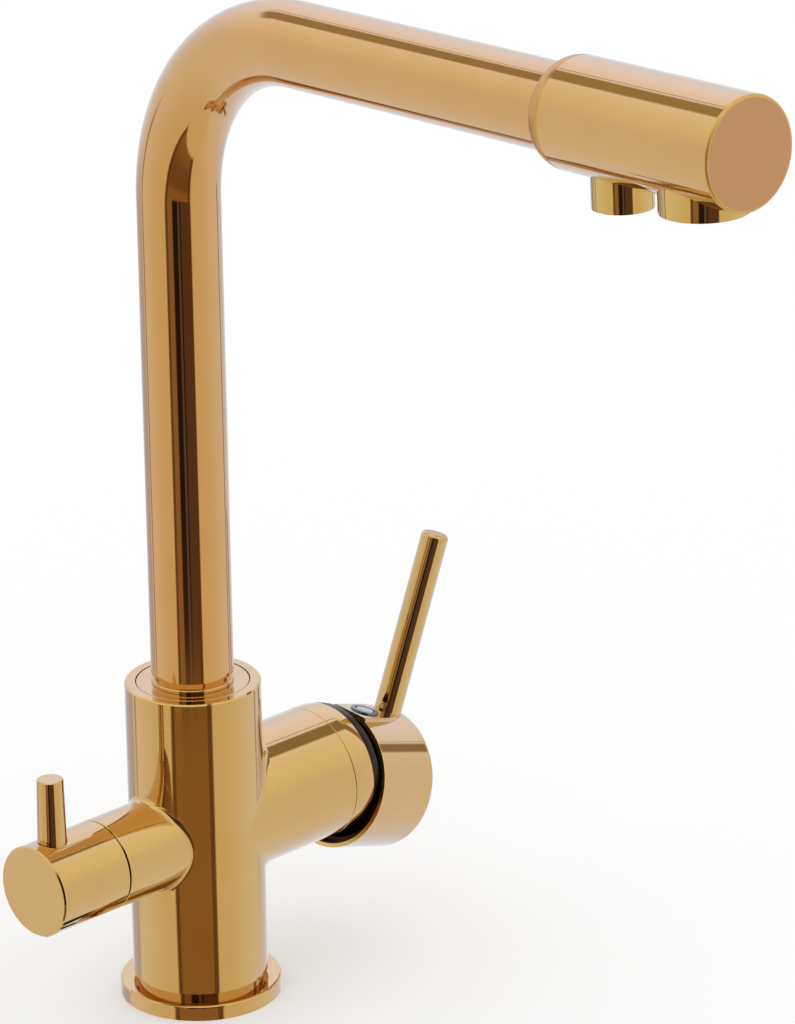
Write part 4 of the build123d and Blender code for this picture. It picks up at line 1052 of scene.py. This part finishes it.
    def rod_finish(self) -> Finish:
        """The rod's gold, softer on its flat top."""
        place = self.cap.branch(self.rod_u)
        top = Patch(
            tuple(place.origin), tuple(place.axis), colour=(203, 168, 108), roughness=0.3,
            along=(self.rod_top - SKIN / 2.0, self.rod_top + BEYOND), out=(FROM_AXIS, OUTSIDE),
        )
        return replace(
            LEVER_GOLD, name="lever rod gold", colour=(211, 178, 119), shade=(208, 175, 114),
            patches=(top,),
        )

    def button_finish(self) -> Finish:
        """The button's chrome, darker in the groove and on the rim round it."""
        place, (inner, outer) = self.cap.branch(self.button_u), self.groove
        face = (self.button_top - 2.0 * SKIN, self.button_top + BEYOND)
        rim = Patch(
            tuple(place.origin), tuple(place.axis), along=face, out=(outer + SKIN, OUTSIDE),
            colour=(118, 120, 140), roughness=0.16,
        )
        lip = inner - 2.0 * self.groove_slope
        groove = replace(rim, out=(lip, outer), colour=(52, 52, 66), roughness=0.3)
        return replace(CHROME, name="button chrome", patches=(rim, groove))


@dataclass
class FilterKnob:
    """The filtered water knob on the left, its pin and the valve inside.

    Attributes:
        height: Height of the knob's axis.
        pin_x: Place of the pin, from the body's axis.
        pin_r: Radius of the pin's foot.
        pin_top_r: Radius of its top.
        pin_seat: Foot of the pin above the knob's axis.
        pin_top: Top of the pin.
        pin_edge: Radius of its rounded top edge.
        thread: Radius and length of the thread under it.
    """

    height: float = 60.0
    pin_x: float = 65.2
    pin_r: float = 4.95
    pin_top_r: float = 4.5
    pin_seat: float = 14.9
    pin_top: float = 37.9
    pin_edge: float = 0.5
    thread: tuple[float, float] = (2.5, 5.0)

    def build(self, shop: Workshop) -> None:
        """Builds the pin and dresses the rest."""
        shop.fit(self.pin(), "filter_handle", "filter_pin", GOLD)
        shop.dress(GOLD, "filter_knob")
        shop.dress(STAINLESS, "knob_screw")
        shop.dress(RAW_BRASS, "filter_spindle")
        shop.dress(RUBBER, "filter_spindle_seal")
        shop.dress(CERAMIC, "filter_moving_disc")

    def pin(self) -> bpy.types.Object:
        """Builds the pin: a slightly tapered outline with its thread, turned round its axis."""
        place = Place(UP * self.height - RIGHT * self.pin_x, UP, RIGHT)
        low, edge = self.pin_top - self.pin_edge, self.pin_top_r - self.pin_edge
        thread_r, thread_h = self.thread
        foot = self.pin_seat - thread_h
        outline = Profile(foot, 0.0).line(foot, thread_r).line(self.pin_seat, thread_r)
        outline.line(self.pin_seat, self.pin_r).line(low, self.pin_top_r)
        outline.arc(self.pin_top, edge, (low, edge)).line(self.pin_top, 0.0)
        return turned_piece("knob_pin", place, outline, THIN_ROUND)


class Way(Enum):
    """Ways that a direction in the room is measured."""

    X = "to the part's right"
    Y = "to the part's back"
    RISE = "up"
    TILTED = "up, tilted a little"
    FAR = "level, away from the camera"
    ASIDE = "level, to the camera's left"
    BENT = "across the strip that bends, in half widths of it"


@dataclass(frozen=True)
class Mark:
    """Something in the room with a colour of its own.

    Attributes:
        colour: Its colour, as light.
        way: Way that it is measured across.
        limits: Where it is that way, with one limit for each of its strips.
        ends: Limits other ways, all of which have to hold.
        share: How much of its colour shows.
    """

    colour: Colour
    way: Way
    limits: tuple[Limit, ...]
    ends: tuple[tuple[Way, Limit], ...] = ()
    share: float = 1.0

    def over(self, under: Value | Colour, seen: dict[Way, Value]) -> Value:
        """Mixes it over a colour, by its share times the sum of its strips and times its ends.

        Args:
            under: Colour that it lies on.
            seen: The direction that the room is seen in, measured each way.

        Returns:
            The mixed colour.
        """
        mask = self.share * sum(seen[self.way].within(limit) for limit in self.limits)
        for way, limit in self.ends:
            mask = mask * seen[way].within(limit)
        return mask.mixed(under, self.colour)


def marked(under: Value | Colour, marks: tuple[Mark, ...], seen: dict[Way, Value]) -> Value:
    """Mixes marks over a colour, one after the other.

    Args:
        under: Colour that they lie on.
        marks: The marks, lowest first.
        seen: The direction that the room is seen in, measured each way.

    Returns:
        The mixed colour.
    """
    for mark in marks:
        under = mark.over(under, seen)
    return under


@dataclass(frozen=True)
class Studio:
    """Pale room round the tap: its light, its floor and what polished metal mirrors.

    The room is warm at the sides, cool behind and brighter above, and two dark strips cross its
    ceiling between the soft lamps. The camera's side is dark: brown low down, striped when level.

    Attributes:
        behind: Azimuth of the room's far side, seen from the camera.
        near_wall: Colour of the wall on the camera's side.
        walls: The other walls.
        near_lamp: Colour of the lamps on the camera's side.
        lamps: The farther lamps.
        lamp_rise: Soft edge between the walls and the lamps.
        dim_floor: Dimmer part of the floor, far off and more so on the left.
        side_lines: Thin upright lines, one at each side.
        low_line: A thin line on the floor, on the left.
        back_strip: The ceiling's strip that runs back, with a thin line beside it.
        right_strip: The one that runs right and then bends down, with a thin line beside it.
        bend_x: Place along X where that strip bends.
        drift: How fast it goes forward from there.
        half_strip: Half its width before the bend.
        taper: How fast it gets narrower from there.
        half_wedge: Half angle of the dark camera side.
        wedge_blur: Half width of that side's soft edges.
        wedge_top: Soft edge that it ends at above.
        wedge_foot: Soft edge that it ends at below, measured tilted.
        tilt: Slope of that edge.
        low_brown: Colour of the camera's side low down.
        dusk: Darker part of that.
        dark_brown: Its colour when level.
        stripes: Stripes on that.
        dark_rise: Soft edge between the two.
        wedge_edges: Dark lines along the edges of the camera's side.
        floor_size: Side of the floor, in millimetres.
        floor_light: Share of the floor's white that is its own light.
    """

    behind: float = 43.3
    near_wall: Colour = (0.83, 0.75, 0.55, 1.0)
    walls: tuple[Mark, ...] = (
        Mark((0.87, 0.85, 0.78, 1.0), Way.FAR, ((-0.75, 0.2),)),
        Mark((0.80, 0.83, 0.90, 1.0), Way.FAR, ((0.2, 0.95),)),
    )
    near_lamp: Colour = (1.0, 0.98, 0.76, 1.0)
    lamps: tuple[Mark, ...] = (Mark((1.07, 1.13, 1.4, 1.0), Way.FAR, ((0.0, 0.95),)),)
    lamp_rise: Limit = (0.05, 0.6)
    dim_floor: Mark = Mark(
        (0.55, 0.53, 0.58, 1.0), Way.FAR, ((0.5, 0.93, 0.08),),
        ((Way.RISE, (-0.2, -0.34)), (Way.RISE, (-0.62, -0.5)), (Way.ASIDE, (-1.0, 0.2))),
    )
    side_lines: Mark = Mark(
        (0.26, 0.16, 0.1, 1.0), Way.ASIDE, ((0.905, 0.935, 0.01), (-0.79, -0.74, 0.01)),
        ((Way.FAR, (0.1, 0.2)), (Way.RISE, (-0.4, -0.2, 0.03))), share=0.8,
    )
    low_line: Mark = Mark(
        (0.26, 0.16, 0.1, 1.0), Way.ASIDE, ((0.5, 0.56, 0.015),),
        ((Way.FAR, (0.3, 0.5)), (Way.RISE, (-0.64, -0.68))), share=0.8,
    )
    back_strip: Mark = Mark(
        (0.43, 0.35, 0.2, 1.0), Way.X, ((-0.13, 0.14, 0.025), (0.19, 0.21, 0.008)),
        ((Way.Y, (0.25, 0.4)), (Way.RISE, (0.5, 0.57))),
    )
    right_strip: Mark = Mark(
        (0.34, 0.27, 0.145, 1.0), Way.BENT, ((-1.025, 1.025, 0.175), (1.5, 1.62, 0.05)),
        ((Way.X, (0.3, 0.45)), (Way.RISE, (0.12, 0.25))),
    )
    bend_x: float = 0.64
    drift: float = 1.04
    half_strip: float = 0.15
    taper: float = 0.25
    half_wedge: float = 35.0
    wedge_blur: float = 0.018
    wedge_top: Limit = (0.6, 0.45)
    wedge_foot: Limit = (-0.839, -0.809)
    tilt: float = 0.067
    low_brown: Colour = (0.34, 0.19, 0.07, 1.0)
    dusk: Mark = Mark(
        (0.22, 0.12, 0.05, 1.0), Way.RISE, ((-0.44, -0.5),), ((Way.RISE, (-0.85, -0.6)),)
    )
    dark_brown: Colour = (0.12, 0.068, 0.048, 1.0)
    stripes: tuple[Mark, ...] = (
        Mark((0.026, 0.015, 0.01, 1.0), Way.ASIDE, ((-0.16, -0.1),)),
        Mark((0.13, 0.11, 0.1, 1.0), Way.ASIDE, ((-0.07, 0.02, 0.015),)),
        Mark((0.33, 0.21, 0.11, 1.0), Way.ASIDE, ((0.23, 0.29),)),
    )
    dark_rise: Limit = (-0.388, -0.376)
    wedge_edges: Mark = Mark(
        (0.13, 0.07, 0.03, 1.0), Way.ASIDE, ((0.47, 0.57, 0.012), (-0.57, -0.45, 0.012)),
        share=0.8,
    )
    floor_size: float = 60000.0
    floor_light: float = 0.25

    def build(self) -> None:
        """Builds the room's light and the floor."""
        self._world()
        self._floor()

    def _measured(self, shader: Shader) -> dict[Way, Value]:
        """Measures the direction that the room is seen in.

        Far and aside are x and y over the length of their level part, turned by the azimuth of
        the far side. Across the strip that bends is y plus its drift there, over its half width.

        Args:
            shader: Shader of the world.

        Returns:
            The direction, measured each way.
        """
        seen = shader.vector("NORMALIZE", shader.node("ShaderNodeTexCoord", {}, {}, "Generated"))
        x, y, rise = (
            shader.node("ShaderNodeSeparateXYZ", {}, {0: seen}, output) for output in range(3)
        )
        turn = math.radians(self.behind)
        level = (1.0 - rise * rise).clipped() ** 0.5 + NOT_ZERO
        far = (x * math.cos(turn) + y * math.sin(turn)) / level
        aside = (y * math.cos(turn) - x * math.sin(turn)) / level
        past = (x - self.bend_x).clipped()
        bent = (y + self.drift * past) / (self.half_strip - self.taper * past)
        tilted = rise + self.tilt * aside
        return dict(zip(Way, (x, y, rise, tilted, far, aside, bent)))

    def _mirrored(self, seen: dict[Way, Value]) -> Value:
        """Colour of the room in a mirror, by the direction that it is seen in.

        Args:
            seen: That direction, measured each way.

        Returns:
            The colour, as light.
        """
        rise = seen[Way.RISE]
        walls = marked(self.near_wall, self.walls, seen)
        lamps = marked(self.near_lamp, self.lamps, seen)
        room = rise.within(self.lamp_rise).mixed(walls, lamps)
        lines = (self.side_lines, self.low_line)
        room = marked(room, (self.dim_floor, *lines, self.back_strip, self.right_strip), seen)
        brown = marked(self.low_brown, (self.dusk,), seen)
        striped = marked(self.dark_brown, self.stripes, seen)
        dark = rise.within(self.dark_rise).mixed(brown, striped)
        return self._wedge(seen).mixed(room, self.wedge_edges.over(dark, seen))

    def _wedge(self, seen: dict[Way, Value]) -> Value:
        """1 on the camera's side of the room and 0 off it."""
        edge = math.cos(math.radians(self.half_wedge))
        side = seen[Way.FAR].step(self.wedge_blur - edge, -self.wedge_blur - edge)
        height = seen[Way.RISE].within(self.wedge_top) * seen[Way.TILTED].within(self.wedge_foot)
        return side * height

    def _world(self) -> None:
        """Builds the world: white for the camera, plain white light, and the room in mirrors."""
        world = bpy.data.worlds.new("studio")
        world.use_nodes = True
        bpy.context.scene.world = world
        shader = Shader(world.node_tree)
        glossy = shader.node("ShaderNodeLightPath", {}, {}, output="Is Glossy Ray")
        colour = glossy.mixed(WHITE, self._mirrored(self._measured(shader)))
        light = shader.node("ShaderNodeBackground", {}, {"Color": colour})
        shader.output("ShaderNodeOutputWorld", light)

    def _floor(self) -> None:
        """Builds the floor, clear from below, which takes shadows and isn't mirrored in metal."""
        half = self.floor_size / 2.0 * MM
        corners = [(x * half, y * half, 0.0) for x, y in ((-1, -1), (1, -1), (1, 1), (-1, 1))]
        mesh = bpy.data.meshes.new("floor")
        mesh.from_pydata(corners, [], [range(4)])
        floor = bpy.data.objects.new("floor", mesh)
        bpy.context.scene.collection.objects.link(floor)
        material = bpy.data.materials.new("floor")
        material.use_nodes = True
        shader = Shader(material.node_tree)
        white = 1.0 - self.floor_light
        matt = shader.node("ShaderNodeBsdfDiffuse", {}, {"Color": (white, white, white, 1.0)})
        glow = shader.node("ShaderNodeEmission", {}, {"Strength": self.floor_light})
        both = shader.node("ShaderNodeAddShader", {}, {0: matt, 1: glow})
        clear = shader.node("ShaderNodeBsdfTransparent", {}, {})
        under = shader.node("ShaderNodeNewGeometry", {}, {}, output="Backfacing")
        surface = shader.node("ShaderNodeMixShader", {}, {0: under, 1: both, 2: clear})
        shader.output("ShaderNodeOutputMaterial", surface)
        mesh.materials.append(material)
        floor.visible_glossy = False


@dataclass(frozen=True)
class View:
    """The camera: where it stands, what it looks at and its lens.

    Attributes:
        turn: Angle of its place round the part from straight in front, in degrees.
        rise: Angle of its place above level.
        roll: Angle that it is rolled by.
        distance: Distance from its target, in millimetres.
        aside: Distance of its target from the axis of the body, across the view.
        height: Height of its target.
        lens: Focal length.
        sensor: Size of the sensor along the picture's long side.
        reach: How far the camera sees, in metres.
    """

    turn: float = -44.69996
    rise: float = 20.90935
    roll: float = -0.92131
    distance: float = 2062.49
    aside: float = 69.68
    height: float = 172.62
    lens: float = 218.1351
    sensor: float = 36.0
    reach: float = 100.0

    def build(self) -> None:
        """Builds the camera."""
        back, right = direction(self.turn - 90.0, self.rise), direction(self.turn, 0.0)
        up = np.cross(back, right)
        roll = math.radians(self.roll)
        across = math.cos(roll) * right + math.sin(roll) * up
        above = math.cos(roll) * up - math.sin(roll) * right
        place = Matrix(np.stack([across, above, back], axis=1)).to_4x4()
        target = self.aside * right + self.height * UP
        place.translation = (target + self.distance * back) * MM
        data = bpy.data.cameras.new("camera")
        data.lens = self.lens
        data.sensor_width = self.sensor
        data.clip_end = self.reach
        camera = bpy.data.objects.new("camera", data)
        camera.matrix_world = place
        bpy.context.scene.collection.objects.link(camera)
        bpy.context.scene.camera = camera


def main() -> None:
    """Builds the looks of the tap, the studio and the camera."""
    logging.basicConfig(level=logging.INFO, format="%(name)s: %(message)s")
    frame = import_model()
    shop = Workshop(frame["nodes"])
    for assembly in (Base(), Spout(), MixerLever(), FilterKnob()):
        assembly.build(shop)
    Studio().build()
    View().build()
    bpy.context.scene.view_settings.view_transform = "Standard"


if __name__ == "__main__":
    main()
